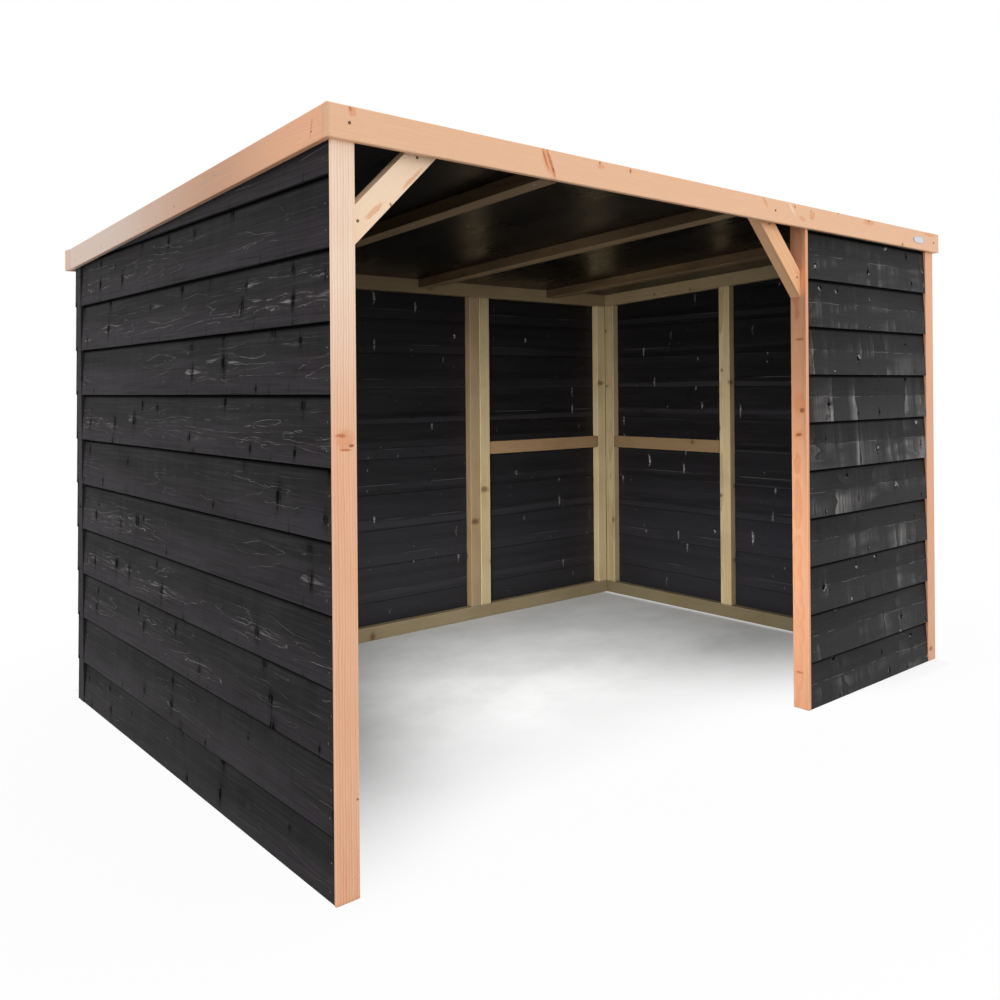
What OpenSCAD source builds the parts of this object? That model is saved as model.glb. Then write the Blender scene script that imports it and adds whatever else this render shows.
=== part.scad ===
// Field shelter: three clad walls, an open front with two braces, a low mono-pitch roof.
// Millimetres. Built with X to the right, Y to the back and Z up from the ground, then
// moved once, at the end, so that the origin is under the middle of its outer box.

/* [Overall] */
// Width over the side walls' cladding
shelter_w = 3138; // [2600:1:3800]
// Depth from the posts' front faces to the back wall's outer face
shelter_d = 2058; // [1650:1:2500]
// Height of the front fascia's top edge
front_h = 1943; // [1600:1:2350]
// Fall of the roof towards the back, in millimetres for each metre of depth
roof_fall = 51.4; // [20:0.2:90]
// How far the roof runs on behind the back wall
rear_eave = 69; // [50:1:130]

/* [Front] */
// Side of the square posts
post_w = 68; // [60:1:90]
// Width of the closed panel at the right end of the front, with both its posts
panel_w = 1056; // [800:1:1300]
// Height of the header that lies on the posts, behind the fascia
header_h = 40; // [34:1:60]
// How far the braces' lower edges stand from the corner they stiffen
brace_reach = 286; // [200:1:360]
// Width of the braces
brace_w = 70; // [50:1:90]
// Thickness of the corner posts' lip in front of the side boards' ends
corner_lip = 10; // [6:1:14]
// Width of the middle post's lip beside the front panel's boards
panel_lip = 17; // [12:1:25]

/* [Walls] */
// Thickness of the cladding, at the boards' thick lower edges
board_t = 25; // [18:1:30]
// Width of the frame timbers' faces
stud_w = 68; // [58:1:80]
// Width of the battens that close the back corners
batten_w = 45; // [36:1:56]
// Height of the middle of the rails
rail_h = 927; // [700:1:1100]
// Distance from the right wall's outer face to the joint of the paired back studs
pair_inset = 1063; // [900:1:1200]

/* [Roof] */
// Height of the fascia boards
fascia_h = 84; // [70:1:110]
// Thickness of the fascia boards
fascia_t = 19; // [16:1:28]
// Thickness of the roof deck
deck_t = 12; // [9:1:18]
// How far the deck's upper face lies below the fascia's top edge
deck_drop = 5; // [3:1:10]
// Depth of the rafters
rafter_t = 44; // [38:1:60]

/* [Plate] */
// Length of the blank oval plate
plate_w = 104; // [80:1:130]
// Height of the blank oval plate
plate_h = 30; // [24:1:44]
// Thickness of the blank oval plate
plate_t = 1.5; // [1:0.1:3]
// Distance from the fascia's right end to the middle of the plate
plate_inset = 190; // [120:1:300]

/* [Hidden] */

$fn = 48;

// planed edge of every timber
arris = 2;
// slope of the roof
slope = roof_fall / 1000;
// frame timbers stand between the cladding and the posts' inner faces
stud_t = post_w - board_t;
inner_x = board_t + stud_t;
inner_right = shelter_w - inner_x;
frame_back = shelter_d - board_t;
inner_back = frame_back - stud_t;
// level of the fascia's underside at the front
eave_z = front_h - fascia_h;
deck_back = shelter_d + rear_eave - fascia_t;
return_z = front_h - slope * shelter_d - fascia_h;
middle_x = shelter_w - panel_w;
panel_x = middle_x + panel_lip;
right_x = shelter_w - post_w;
pair_x = shelter_w - pair_inset;
bay_x = round((inner_x + pair_x - stud_w) / 2);
// the middle studs and the rafters keep their share of the depth and the width
side_stud_y = round(0.521 * shelter_d);
rafter_x = [for (i = [0:2]) round((0.242 + 0.29 * i) * shelter_w)];
plate_x = shelter_w + fascia_t - plate_inset;
// the brace stands at the back of the post
brace_t = stud_t;
brace_end = brace_w * sqrt(2);
outer_front = -fascia_t - plate_t;
outer_back = shelter_d + rear_eave;

// underside of the deck at a depth
function roof_z(y) = front_h - deck_drop - deck_t - slope * y;

// level of the header's underside, on which the posts, the braces and the front panel end
head_z = roof_z(0) - header_h;

// section with planed edges
module planed(w, h) {
    polygon([
        [arris, 0], [w - arris, 0], [w, arris], [w, h - arris],
        [w - arris, h], [arris, h], [0, h - arris], [0, arris]
    ]);
}

// timber that runs along X from x0 to x1
module along_x(x0, x1, y, z, w, h) {
    translate([x0, y, z])
        rotate([90, 0, 90])
            linear_extrude(x1 - x0)
                planed(w, h);
}

// timber that runs along Y from y0 to y1
module along_y(y0, y1, x, z, w, h) {
    translate([x, y1, z])
        rotate([90, 0, 0])
            linear_extrude(y1 - y0)
                planed(w, h);
}

// upright timber from z0 to z1
module upright(x, y, z0, z1, w, d) {
    translate([x, y, z0])
        linear_extrude(z1 - z0)
            planed(w, d);
}

// tilts what was built level at the front so that it follows the roof
module follow_roof() {
    multmatrix([
        [1, 0, 0, 0],
        [0, 1, 0, 0],
        [0, -slope, 1, 0],
        [0, 0, 0, 1]
    ])
        children();
}

// keeps what lies lower than the deck's underside by a distance
module below_roof(distance) {
    intersection() {
        children();
        follow_roof()
            translate([-100, -100, -10])
                cube([shelter_w + 200, shelter_d + 400, roof_z(0) - distance + 10]);
    }
}

// moves a part of the left wall to its place in the right wall
module mirrored() {
    translate([shelter_w, 0, 0])
        mirror([1, 0, 0])
            children();
}

module corner_post() {
    linear_extrude(head_z)
        polygon([
            [arris, 0], [post_w - arris, 0], [post_w, arris], [post_w, post_w - arris],
            [post_w - arris, post_w], [board_t, post_w], [board_t, corner_lip],
            [arris, corner_lip], [0, corner_lip - arris], [0, arris]
        ]);
}

module front_left_post() {
    color("peru")
        corner_post();
}

module front_right_post() {
    color("peru")
        mirrored()
            corner_post();
}

module middle_post() {
    color("peru")
        translate([middle_x, 0, 0])
            linear_extrude(head_z)
                polygon([
                    [arris, 0], [panel_lip - arris, 0], [panel_lip, arris], [panel_lip, board_t],
                    [post_w, board_t], [post_w, post_w - arris], [post_w - arris, post_w],
                    [arris, post_w], [0, post_w - arris], [0, arris]
                ]);
}

// brace in the corner between a post's right face at x = 0 and the header
module brace() {
    translate([0, post_w, head_z])
        rotate([90, 0, 0])
            linear_extrude(brace_t)
                polygon([
                    [0, -brace_reach], [brace_reach, 0],
                    [brace_reach - brace_end, 0], [0, brace_end - brace_reach]
                ]);
}

module left_brace() {
    color("peru")
        translate([post_w, 0, 0])
            brace();
}

module right_brace() {
    color("peru")
        translate([middle_x, 0, 0])
            mirror([1, 0, 0])
                brace();
}

module front_header() {
    color("darkkhaki")
        below_roof(0)
            translate([board_t, 0, head_z])
                cube([shelter_w - 2 * board_t, post_w, header_h]);
}

module side_cladding() {
    below_roof(0)
        translate([0, corner_lip, 0])
            cube([board_t, frame_back - batten_w - corner_lip, front_h]);
}

module left_cladding() {
    color("dimgray")
        side_cladding();
}

module right_cladding() {
    color("dimgray")
        mirrored()
            side_cladding();
}

module back_cladding() {
    color("dimgray")
        below_roof(0)
            translate([0, frame_back, 0])
                cube([shelter_w, board_t, front_h]);
}

module front_panel_cladding() {
    color("dimgray")
        translate([panel_x, 0, 0])
            cube([right_x - panel_x, board_t, head_z]);
}

module corner_batten() {
    below_roof(0)
        translate([0, frame_back - batten_w, 0])
            cube([board_t, batten_w, front_h]);
}

module rear_left_batten() {
    color("dimgray")
        corner_batten();
}

module rear_right_batten() {
    color("dimgray")
        mirrored()
            corner_batten();
}

module side_bottom_plate() {
    along_y(post_w, inner_back, board_t, 0, stud_t, stud_w);
}

module side_top_plate() {
    follow_roof()
        along_y(post_w, inner_back, board_t, roof_z(0) - stud_w, stud_t, stud_w);
}

module side_stud(y) {
    below_roof(stud_w)
        upright(board_t, y, stud_w, front_h, stud_t, stud_w);
}

module side_mid_rail() {
    along_y(side_stud_y + stud_w, inner_back - stud_w, board_t, rail_h - stud_w / 2, stud_t, stud_w);
}

module left_bottom_plate() {
    color("darkkhaki")
        side_bottom_plate();
}

module left_top_plate() {
    color("darkkhaki")
        side_top_plate();
}

module left_front_stud() {
    color("darkkhaki")
        side_stud(post_w);
}

module left_middle_stud() {
    color("darkkhaki")
        side_stud(side_stud_y);
}

module left_rear_stud() {
    color("darkkhaki")
        side_stud(inner_back - stud_w);
}

module left_mid_rail() {
    color("darkkhaki")
        side_mid_rail();
}

module right_bottom_plate() {
    color("darkkhaki")
        mirrored()
            side_bottom_plate();
}

module right_top_plate() {
    color("darkkhaki")
        mirrored()
            side_top_plate();
}

module right_front_stud() {
    color("darkkhaki")
        mirrored()
            side_stud(post_w);
}

module right_middle_stud() {
    color("darkkhaki")
        mirrored()
            side_stud(side_stud_y);
}

module right_rear_stud() {
    color("darkkhaki")
        mirrored()
            side_stud(inner_back - stud_w);
}

module right_mid_rail() {
    color("darkkhaki")
        mirrored()
            side_mid_rail();
}

module back_bottom_plate() {
    color("darkkhaki")
        along_x(board_t, shelter_w - board_t, inner_back, 0, stud_t, stud_w);
}

module back_top_plate() {
    color("darkkhaki")
        below_roof(0)
            translate([board_t, inner_back, roof_z(inner_back) - stud_w])
                cube([shelter_w - 2 * board_t, stud_t, 2 * stud_w]);
}

module back_stud(x) {
    upright(x, inner_back, stud_w, roof_z(inner_back) - stud_w, stud_w, stud_t);
}

module back_left_end_stud() {
    color("darkkhaki")
        back_stud(inner_x);
}

module back_bay_stud() {
    color("darkkhaki")
        back_stud(bay_x);
}

module back_pair_left_stud() {
    color("darkkhaki")
        back_stud(pair_x - stud_w);
}

module back_pair_right_stud() {
    color("darkkhaki")
        back_stud(pair_x);
}

module back_right_end_stud() {
    color("darkkhaki")
        back_stud(inner_right - stud_w);
}

module back_mid_rail() {
    color("darkkhaki")
        along_x(pair_x + stud_w, inner_right - stud_w, inner_back, rail_h - stud_w / 2, stud_t, stud_w);
}

module front_panel_plate() {
    color("darkkhaki")
        along_x(middle_x + post_w, right_x, board_t, 0, stud_t, stud_w);
}

module front_panel_stud() {
    color("darkkhaki")
        upright(right_x - stud_w, board_t, stud_w, head_z, stud_w, stud_t);
}

module rafter(i) {
    follow_roof()
        along_y(post_w, inner_back, rafter_x[i], roof_z(0) - rafter_t, stud_w, rafter_t);
}

module left_rafter() {
    color("darkkhaki")
        rafter(0);
}

module middle_rafter() {
    color("darkkhaki")
        rafter(1);
}

module right_rafter() {
    color("darkkhaki")
        rafter(2);
}

module roof_deck() {
    color("darkslategray")
        follow_roof()
            translate([0, 0, roof_z(0)])
                cube([shelter_w, deck_back, deck_t]);
}

module front_fascia() {
    color("peru")
        along_x(-fascia_t, shelter_w + fascia_t, -fascia_t, eave_z, fascia_t, fascia_h);
}

module side_fascia() {
    follow_roof()
        along_y(0, shelter_d, -fascia_t, eave_z, fascia_t, fascia_h);
}

module left_fascia() {
    color("peru")
        side_fascia();
}

module right_fascia() {
    color("peru")
        mirrored()
            side_fascia();
}

module fascia_return() {
    along_y(shelter_d, deck_back, -fascia_t, return_z, fascia_t, fascia_h);
}

module left_fascia_return() {
    color("peru")
        fascia_return();
}

module right_fascia_return() {
    color("peru")
        mirrored()
            fascia_return();
}

module back_fascia() {
    color("peru")
        along_x(-fascia_t, shelter_w + fascia_t, deck_back, return_z, fascia_t, fascia_h);
}

module name_plate() {
    color("gainsboro")
        translate([plate_x, -fascia_t, eave_z + fascia_h / 2])
            rotate([90, 0, 0])
                linear_extrude(plate_t)
                    scale([plate_w / plate_h, 1])
                        circle(d = plate_h);
}

translate([-shelter_w / 2, -(outer_front + outer_back) / 2, 0]) {
    front_left_post();
    middle_post();
    front_right_post();
    left_brace();
    right_brace();
    front_header();
    left_cladding();
    right_cladding();
    back_cladding();
    front_panel_cladding();
    rear_left_batten();
    rear_right_batten();
    left_bottom_plate();
    left_top_plate();
    left_front_stud();
    left_middle_stud();
    left_rear_stud();
    left_mid_rail();
    right_bottom_plate();
    right_top_plate();
    right_front_stud();
    right_middle_stud();
    right_rear_stud();
    right_mid_rail();
    back_bottom_plate();
    back_top_plate();
    back_left_end_stud();
    back_bay_stud();
    back_pair_left_stud();
    back_pair_right_stud();
    back_right_end_stud();
    back_mid_rail();
    front_panel_plate();
    front_panel_stud();
    left_rafter();
    middle_rafter();
    right_rafter();
    roof_deck();
    front_fascia();
    left_fascia();
    right_fascia();
    left_fascia_return();
    right_fascia_return();
    back_fascia();
    name_plate();
}
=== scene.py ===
import math
import random

import bmesh
import bpy
from bpy.props import (
    FloatProperty, FloatVectorProperty, IntProperty, PointerProperty,
)
from mathutils import Euler, Matrix, Vector


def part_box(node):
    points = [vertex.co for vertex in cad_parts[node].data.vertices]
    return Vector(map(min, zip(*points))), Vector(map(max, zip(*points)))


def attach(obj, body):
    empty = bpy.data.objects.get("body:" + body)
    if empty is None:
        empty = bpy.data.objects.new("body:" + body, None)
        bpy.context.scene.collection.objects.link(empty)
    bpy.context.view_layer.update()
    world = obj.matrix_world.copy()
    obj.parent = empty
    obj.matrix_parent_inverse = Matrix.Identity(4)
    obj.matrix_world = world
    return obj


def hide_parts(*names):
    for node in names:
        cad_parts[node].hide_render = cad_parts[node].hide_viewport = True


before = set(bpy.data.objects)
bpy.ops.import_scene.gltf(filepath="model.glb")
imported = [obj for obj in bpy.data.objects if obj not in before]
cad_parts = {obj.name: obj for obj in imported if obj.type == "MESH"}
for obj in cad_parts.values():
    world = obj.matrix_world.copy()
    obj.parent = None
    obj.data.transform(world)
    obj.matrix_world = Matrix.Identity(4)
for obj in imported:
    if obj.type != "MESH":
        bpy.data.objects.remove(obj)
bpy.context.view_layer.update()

bl_info = {
    "name": "Field Shelter",
    "version": (1, 0, 0),
    "blender": (4, 5, 0),
    "location": "3D View > Sidebar > Shelter",
    "description": "Boards, fixings, roof covering and finishes of a timber field shelter",
    "category": "Object",
}

# ---------------------------------------------------------------- measures

MM = 0.001

LEFT_LOW, LEFT_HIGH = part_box("left_cladding")
RIGHT_LOW, RIGHT_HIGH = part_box("right_cladding")
BACK_LOW, BACK_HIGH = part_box("back_cladding")
PANEL_LOW, PANEL_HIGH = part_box("front_panel_cladding")
DECK_LOW, DECK_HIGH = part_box("roof_deck")
FASCIA_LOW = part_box("front_fascia")[0]
POST_LOW, POST_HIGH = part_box("front_left_post")
# where the plan starts: the cladding's outer face and the posts' front faces
PLAN_X, PLAN_Y = LEFT_LOW.x, POST_LOW.y

CLADDING = LEFT_HIGH.x - LEFT_LOW.x
ROOF_SLOPE = (LEFT_HIGH.z - BACK_HIGH.z) / (BACK_LOW.y - LEFT_LOW.y)
ROOF_NORMAL = Vector((0, ROOF_SLOPE, 1)).normalized()
# play between the boards' ends and the timbers beside them
END_PLAY = 1.5 * MM

# width of the film-faced sheets under the roof, in metres
SHEET_WIDTH = 1.22
# edges that turn further than this, in radians, are eased
SHARP = 1.0
# what keeps two faces from lying in one plane
CLEAR = 0.1 * MM
QUARTER = math.pi / 2


def under_deck(y):
    """Height of the deck's underside at a depth."""
    return LEFT_HIGH.z - ROOF_SLOPE * (y - LEFT_LOW.y)


def deck_top(y):
    """Height of the deck's upper face at a depth."""
    return DECK_HIGH.z - ROOF_SLOPE * (y - DECK_LOW.y)


def middle_of(node):
    """Centre of a piece's box."""
    low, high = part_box(node)
    return (low + high) / 2


def size_of(node):
    """Sizes of a piece's box."""
    low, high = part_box(node)
    return high - low


def shade(red, green, blue):
    """A colour given in everyday 0 to 255 steps, as the linear one that a finish needs."""
    def linear(step):
        value = step / 255
        return value / 12.92 if value <= 0.04045 else ((value + 0.055) / 1.055) ** 2.4
    return tuple(linear(step) for step in (red, green, blue))


def full(colour):
    """A colour with its alpha."""
    return (*colour, 1.0)


# ---------------------------------------------------------------- joinery helpers

def clear_selection():
    """Leaves nothing selected, so that an operator acts on one piece only."""
    if bpy.context.object and bpy.context.object.mode != "OBJECT":
        bpy.ops.object.mode_set(mode="OBJECT")
    bpy.ops.object.select_all(action="DESELECT")


def take(piece):
    """Selects one piece alone and makes it the active one."""
    clear_selection()
    piece.select_set(True)
    bpy.context.view_layer.objects.active = piece
    return piece


def name_piece(piece, name):
    """Names a piece and its mesh."""
    piece.name = piece.data.name = name
    return piece


def settle(piece):
    """Writes a piece's place, turn and scale into its mesh."""
    take(piece)
    bpy.ops.object.transform_apply(location=True, rotation=True, scale=True)
    return piece


def start_block(name, low, high):
    """A cube stretched between two corners, from which a piece is cut."""
    low, high = Vector(low), Vector(high)
    clear_selection()
    bpy.ops.mesh.primitive_cube_add(size=1, calc_uvs=False, location=(low + high) / 2)
    piece = name_piece(bpy.context.active_object, name)
    piece.scale = high - low
    return settle(piece)


def start_disc(name, centre, radius, depth, sides, turn=(0, 0, 0)):
    """A cylinder from which a round piece is turned."""
    clear_selection()
    bpy.ops.mesh.primitive_cylinder_add(
        vertices=sides, radius=radius, depth=depth, calc_uvs=False,
        location=centre, rotation=turn)
    return settle(name_piece(bpy.context.active_object, name))


def open_piece(piece):
    """Goes into edit mode on one piece."""
    take(piece)
    bpy.ops.object.mode_set(mode="EDIT")


def close_piece(piece):
    """Makes the piece's faces point outwards and leaves edit mode."""
    bpy.ops.mesh.select_all(action="SELECT")
    bpy.ops.mesh.normals_make_consistent(inside=False)
    bpy.ops.object.mode_set(mode="OBJECT")
    return piece


def middle(item):
    """Middle of a vertex, an edge or a face."""
    if isinstance(item, bmesh.types.BMVert):
        return item.co
    if isinstance(item, bmesh.types.BMEdge):
        return (item.verts[0].co + item.verts[1].co) / 2
    return item.calc_center_median()


def pick(piece, kind, test):
    """Selects only the verts, edges or faces of the open piece whose middle passes a test."""
    order = ("verts", "edges", "faces")
    bpy.context.tool_settings.mesh_select_mode = [name == kind for name in order]
    bpy.ops.mesh.select_all(action="DESELECT")
    shape = bmesh.from_edit_mesh(piece.data)
    found = [item for item in getattr(shape, kind) if test(middle(item), item)]
    if not found:
        raise ValueError(f"{piece.name}: no {kind} found to work on")
    for item in found:
        item.select_set(True)
    shape.select_flush_mode()
    bmesh.update_edit_mesh(piece.data)


def cut(point, normal, remove=False):
    """Saws what is selected along a plane; with remove, the side the normal points to falls off."""
    bpy.ops.mesh.bisect(plane_co=point, plane_no=normal, use_fill=remove,
                        clear_outer=remove, threshold=1e-6)


def runs_along(item, axis):
    """Whether an edge runs along one axis."""
    way = item.verts[1].co - item.verts[0].co
    return abs(way[axis]) > 0.99 * way.length


def copy_of(piece, name):
    """A copy of a piece with its own mesh."""
    made = piece.copy()
    made.data = piece.data.copy()
    bpy.context.scene.collection.objects.link(made)
    return name_piece(made, name)


def discard(piece):
    """Takes away a pattern piece that has been copied."""
    mesh = piece.data
    bpy.data.objects.remove(piece)
    bpy.data.meshes.remove(mesh)


def gather(pieces, name):
    """Joins several copies into one piece."""
    clear_selection()
    for piece in pieces:
        piece.select_set(True)
    bpy.context.view_layer.objects.active = pieces[0]
    if len(pieces) > 1:
        bpy.ops.object.join()
    return name_piece(pieces[0], name)


def smooth(piece, degrees=35):
    """Smooths a piece's rounded places and keeps its sharp edges."""
    take(piece)
    bpy.ops.object.shade_smooth_by_angle(angle=math.radians(degrees))


def apply_modifier(piece, kind, **settings):
    """Adds one modifier with its settings and applies it."""
    take(piece)
    modifier = piece.modifiers.new(kind.title(), kind)
    for name, value in settings.items():
        setattr(modifier, name, value)
    bpy.ops.object.modifier_apply(modifier=modifier.name)


def fit(piece, slot, *replaced):
    """Fixes a finished piece to the shelter and hides what it stands for; the slot is not used."""
    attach(piece, "root")
    if replaced:
        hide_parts(*replaced)
    return piece


def dress(piece, *materials):
    """Gives a piece its finishes in order."""
    piece.data.materials.clear()
    for material in materials:
        piece.data.materials.append(material)


# ---------------------------------------------------------------- shader helpers

VECTOR, NUMBER = "NodeSocketVector", "NodeSocketFloat"
WHITE = (1.0, 1.0, 1.0)


class Wire:
    """What one socket of a node puts out; sums with it are written as with a number."""

    def __init__(self, wiring, socket):
        self.wiring = wiring
        self.socket = socket

    def __add__(self, other):
        return self.wiring.maths("ADD", self, other)

    def __sub__(self, other):
        return self.wiring.maths("SUBTRACT", self, other)

    def __rsub__(self, other):
        return self.wiring.maths("SUBTRACT", other, self)

    def __mul__(self, other):
        return self.wiring.maths("MULTIPLY", self, other)

    def __truediv__(self, other):
        return self.wiring.maths("DIVIDE", self, other)

    def __pow__(self, other):
        return self.wiring.maths("POWER", self, other)

    def __abs__(self):
        return self.wiring.maths("ABSOLUTE", self)


class Wiring:
    """Adds nodes to one node tree and joins them."""

    def __init__(self, tree):
        self.tree = tree

    def node(self, kind, given=None, **settings):
        """One node with its settings; given holds the values or wires for its inputs."""
        made = self.tree.nodes.new(kind)
        for name, value in settings.items():
            setattr(made, name, value)
        for key, value in (given or {}).items():
            self.join(value, made.inputs[key])
        return made

    def join(self, value, socket):
        """Feeds a socket from a wire, or sets it."""
        if isinstance(value, Wire):
            self.tree.links.new(value.socket, socket)
        else:
            socket.default_value = value

    def wires(self, kind, given=None, **settings):
        """What a new node puts out, by name."""
        made = self.node(kind, given, **settings)
        return {socket.name: Wire(self, socket) for socket in made.outputs}

    def wire(self, kind, given=None, output=0, **settings):
        """What a new node puts out at one socket."""
        return Wire(self, self.node(kind, given, **settings).outputs[output])

    def maths(self, operation, *values, clamp=False):
        return self.wire("ShaderNodeMath", dict(enumerate(values)),
                         operation=operation, use_clamp=clamp)

    def linear(self, value, factor, plus, clamp=False):
        """A value times a factor, plus another."""
        return self.maths("MULTIPLY_ADD", value, factor, plus, clamp=clamp)

    def larger(self, first, second):
        return self.maths("MAXIMUM", first, second)

    def squares(self, x, y):
        return x ** 2.0 + y ** 2.0

    def hypot(self, x, y):
        return self.maths("SQRT", self.squares(x, y))

    def vectors(self, operation, *values):
        return self.wire("ShaderNodeVectorMath", dict(enumerate(values)), operation=operation)

    def length(self, vector):
        return self.wire("ShaderNodeVectorMath", {0: vector}, "Value", operation="LENGTH")

    def split(self, vector):
        return list(self.wires("ShaderNodeSeparateXYZ", {0: vector}).values())

    def merge(self, x, y, z):
        return self.wire("ShaderNodeCombineXYZ", {0: x, 1: y, 2: z})

    def place(self):
        """Where a point of the surface lies."""
        return self.wire("ShaderNodeTexCoord", output="Object")

    def noise(self, vector, stretch, detail=1.0, rough=0.5, output=0):
        """Noise whose marks are as much longer along each axis as the stretch is smaller."""
        return self.wire("ShaderNodeTexNoise", {
            "Vector": self.vectors("MULTIPLY", vector, stretch),
            "Scale": 1.0, "Detail": detail, "Roughness": rough}, output)

    def dice(self, value):
        """One random number for each whole step of a value."""
        return self.wire("ShaderNodeTexWhiteNoise", {"W": self.maths("FLOOR", value)},
                         noise_dimensions="1D")

    def cells(self, along, across, spacing, lane, randomness):
        """One mark in each cell of a grid: how far it is both ways, and its random numbers."""
        cell = self.merge(along / spacing, across / lane, 0.0)
        nearest = self.wires("ShaderNodeTexVoronoi", {
            "Vector": cell, "Scale": 1.0, "Randomness": randomness}, voronoi_dimensions="2D")
        offset = self.split(self.vectors("SUBTRACT", cell, nearest["Position"]))
        return offset[0] * spacing, offset[1] * lane, self.split(nearest["Color"])

    def remap(self, value, low, high, to_low=0.0, to_high=1.0):
        """Eases a value from one span into another, and stops at its ends."""
        return self.wire("ShaderNodeMapRange", {
            0: value, 1: low, 2: high, 3: to_low, 4: to_high}, interpolation_type="SMOOTHSTEP")

    def blend(self, share, first, second):
        """Mixes two colours; the node's other inputs are for numbers and vectors."""
        return self.wire("ShaderNodeMix", {0: share, 6: first, 7: second}, 2, data_type="RGBA")

    def ramp(self, value, stops):
        """A run of grey levels."""
        made = self.node("ShaderNodeValToRGB", {0: value})
        line = made.color_ramp
        while len(line.elements) < len(stops):
            line.elements.new(1.0)
        for element, (place, level) in zip(line.elements, stops):
            element.position = place
            element.color = (level, level, level, 1.0)
        return Wire(self, made.outputs[0])

    def effect(self, group, **given):
        """One of the shared groups; underscores in the names stand for spaces."""
        return self.wires("ShaderNodeGroup", spaced(given), node_tree=group())


def spaced(given):
    """Socket names with spaces for their underscores."""
    return {name.replace("_", " "): value for name, value in given.items()}


def shared(inputs, outputs):
    """Makes a function a shader group, built at its first use and shared from then on.

    Inputs hold each socket's default, or None for a vector. The function is given a wire for each
    input and returns one for each output."""
    def wrap(fill):
        name = fill.__name__.replace("_", " ").capitalize()

        def build():
            tree = bpy.data.node_groups.new(name, "ShaderNodeTree")
            for label, value in inputs.items():
                kind = VECTOR if value is None else NUMBER
                socket = tree.interface.new_socket(label, in_out="INPUT", socket_type=kind)
                if value is not None:
                    socket.default_value = value
            for label in outputs:
                tree.interface.new_socket(label, in_out="OUTPUT", socket_type=NUMBER)
            w = Wiring(tree)
            given = w.wires("NodeGroupInput")
            made = fill(w, *[given[label] for label in inputs])
            result = w.node("NodeGroupOutput")
            for label, value in zip(outputs, [made] if isinstance(made, Wire) else made):
                w.join(value, result.inputs[label])
            return tree

        return lambda: bpy.data.node_groups.get(name) or build()
    return wrap


@shared({"Grain": None, "Ring Width": 0.004, "Pith Across": 0.03, "Pith Depth": 0.06,
         "Wander": 0.03, "Knot Spacing": 0.4, "Knot Lane": 0.09, "Knot Size": 0.012,
         "Knot Share": 0.6},
        ("Rings", "Knots", "Knot Rims", "Eyes", "Smears", "Flares", "Fibres", "Patches", "Parted"))
def timber_figure(w, grain, ring_width, pith_across, pith_depth, wander, spacing, lane, knot_size,
                  knot_share):
    """Growth rings, knots and fibres of sawn timber whose grain runs along the vector's X."""
    along, across, depth = w.split(grain)
    # knots: one in each cell of a grid that lies on the face and runs through the timber
    from_x, from_y, chance = w.cells(along, w.linear(depth, 0.45, across), spacing, lane, 0.85)
    there = w.maths("LESS_THAN", chance[0], knot_share)
    radius = knot_size * w.linear(chance[1], 0.9, 0.45)
    uneven = w.noise(grain, (70.0, 110.0, 110.0))
    reach = w.hypot(from_x * 0.8, from_y) * w.linear(uneven, 0.7, 0.65)
    size = reach / radius
    knots = w.remap(size, 1.1, 0.8) * there
    rims = w.maths("SUBTRACT", w.remap(size, 1.9, 1.1) * there, knots, clamp=True)

    def glow(long, high):
        """A soft spot round each knot, so many of its radii long and high."""
        far = w.squares(from_x / long, from_y / high) / radius ** 2.0
        return w.maths("EXPONENT", far * -1.0) * there

    # the grain parts and flows round each knot
    parted = across - from_y * 0.88 * glow(6.7, 2.4)
    drift = w.vectors("SUBTRACT", w.noise(grain, (1.3, 2.0, 2.0), output=1), (0.5, 0.5, 0.5))
    drift_across, drift_deep, _ = w.split(drift)
    wide = w.linear(drift_across, wander, parted - pith_across)
    deep = w.linear(drift_deep, wander, depth - pith_depth)
    ripple = w.noise(grain, (14.0, 30.0, 30.0))
    year = w.linear(ripple, 0.8, w.hypot(wide, deep) / ring_width)
    year = year * (1.0 - knots) + reach * 420.0 * knots
    profile = w.ramp(w.maths("FRACT", year),
                     [(0.0, 0.9), (0.12, 0.0), (0.55, 0.15), (0.93, 1.0), (1.0, 0.9)])
    rings = profile * w.linear(w.dice(year), 0.6, 0.4)
    # one thin closed line round some of the knots
    eye = w.hypot(from_x / 15.0, from_y / 1.5) / radius
    eye = abs(w.linear(w.noise(grain, (16.0, 60.0, 60.0), 2.0), 1.3, eye) - 1.6)
    eye = w.remap(eye * (radius * 1.5), 0.0011, 0.0003)
    large = w.remap(chance[1], 0.25, 0.5) * w.maths("LESS_THAN", chance[2], 0.5)
    brush = w.remap(w.noise(grain, (130.0, 14.0, 30.0), 2.0), 0.38, 0.6, 0.15, 1.0)
    fibres = w.remap(w.noise(grain, (9.0, 430.0, 430.0), 2.0), 0.32, 0.68)
    patches = w.remap(w.noise(grain, (1.7, 9.0, 9.0), 2.0), 0.28, 0.72)
    return (rings, knots, rims, eye * (there * large), glow(1.15, 2.7) * brush, glow(9.0, 1.0),
            fibres, patches, parted)


@shared({"Grain": None, "Levels": 7.0, "Line": 0.0011}, ("Loops",))
def grain_loops(w, grain, levels, line):
    """Thin lines of even width that run round soft islands, as on the face of a flat-sawn board."""
    def field(step):
        place = w.vectors("ADD", grain, step)
        sway = w.noise(place, (20.0, 90.0, 30.0))
        return w.linear(sway, 0.06, w.noise(place, (1.6, 15.0, 9.0)))

    here = field((0, 0, 0))
    run, rise = 4 * MM, 1 * MM
    steep = w.hypot((field((run, 0, 0)) - here) / run, (field((0, rise, 0)) - here) / rise)
    near = abs(w.maths("FRACT", here * levels) - 0.5) / levels / w.larger(steep, 0.4)
    return w.remap(near / line, 1.0, 0.3)


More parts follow.
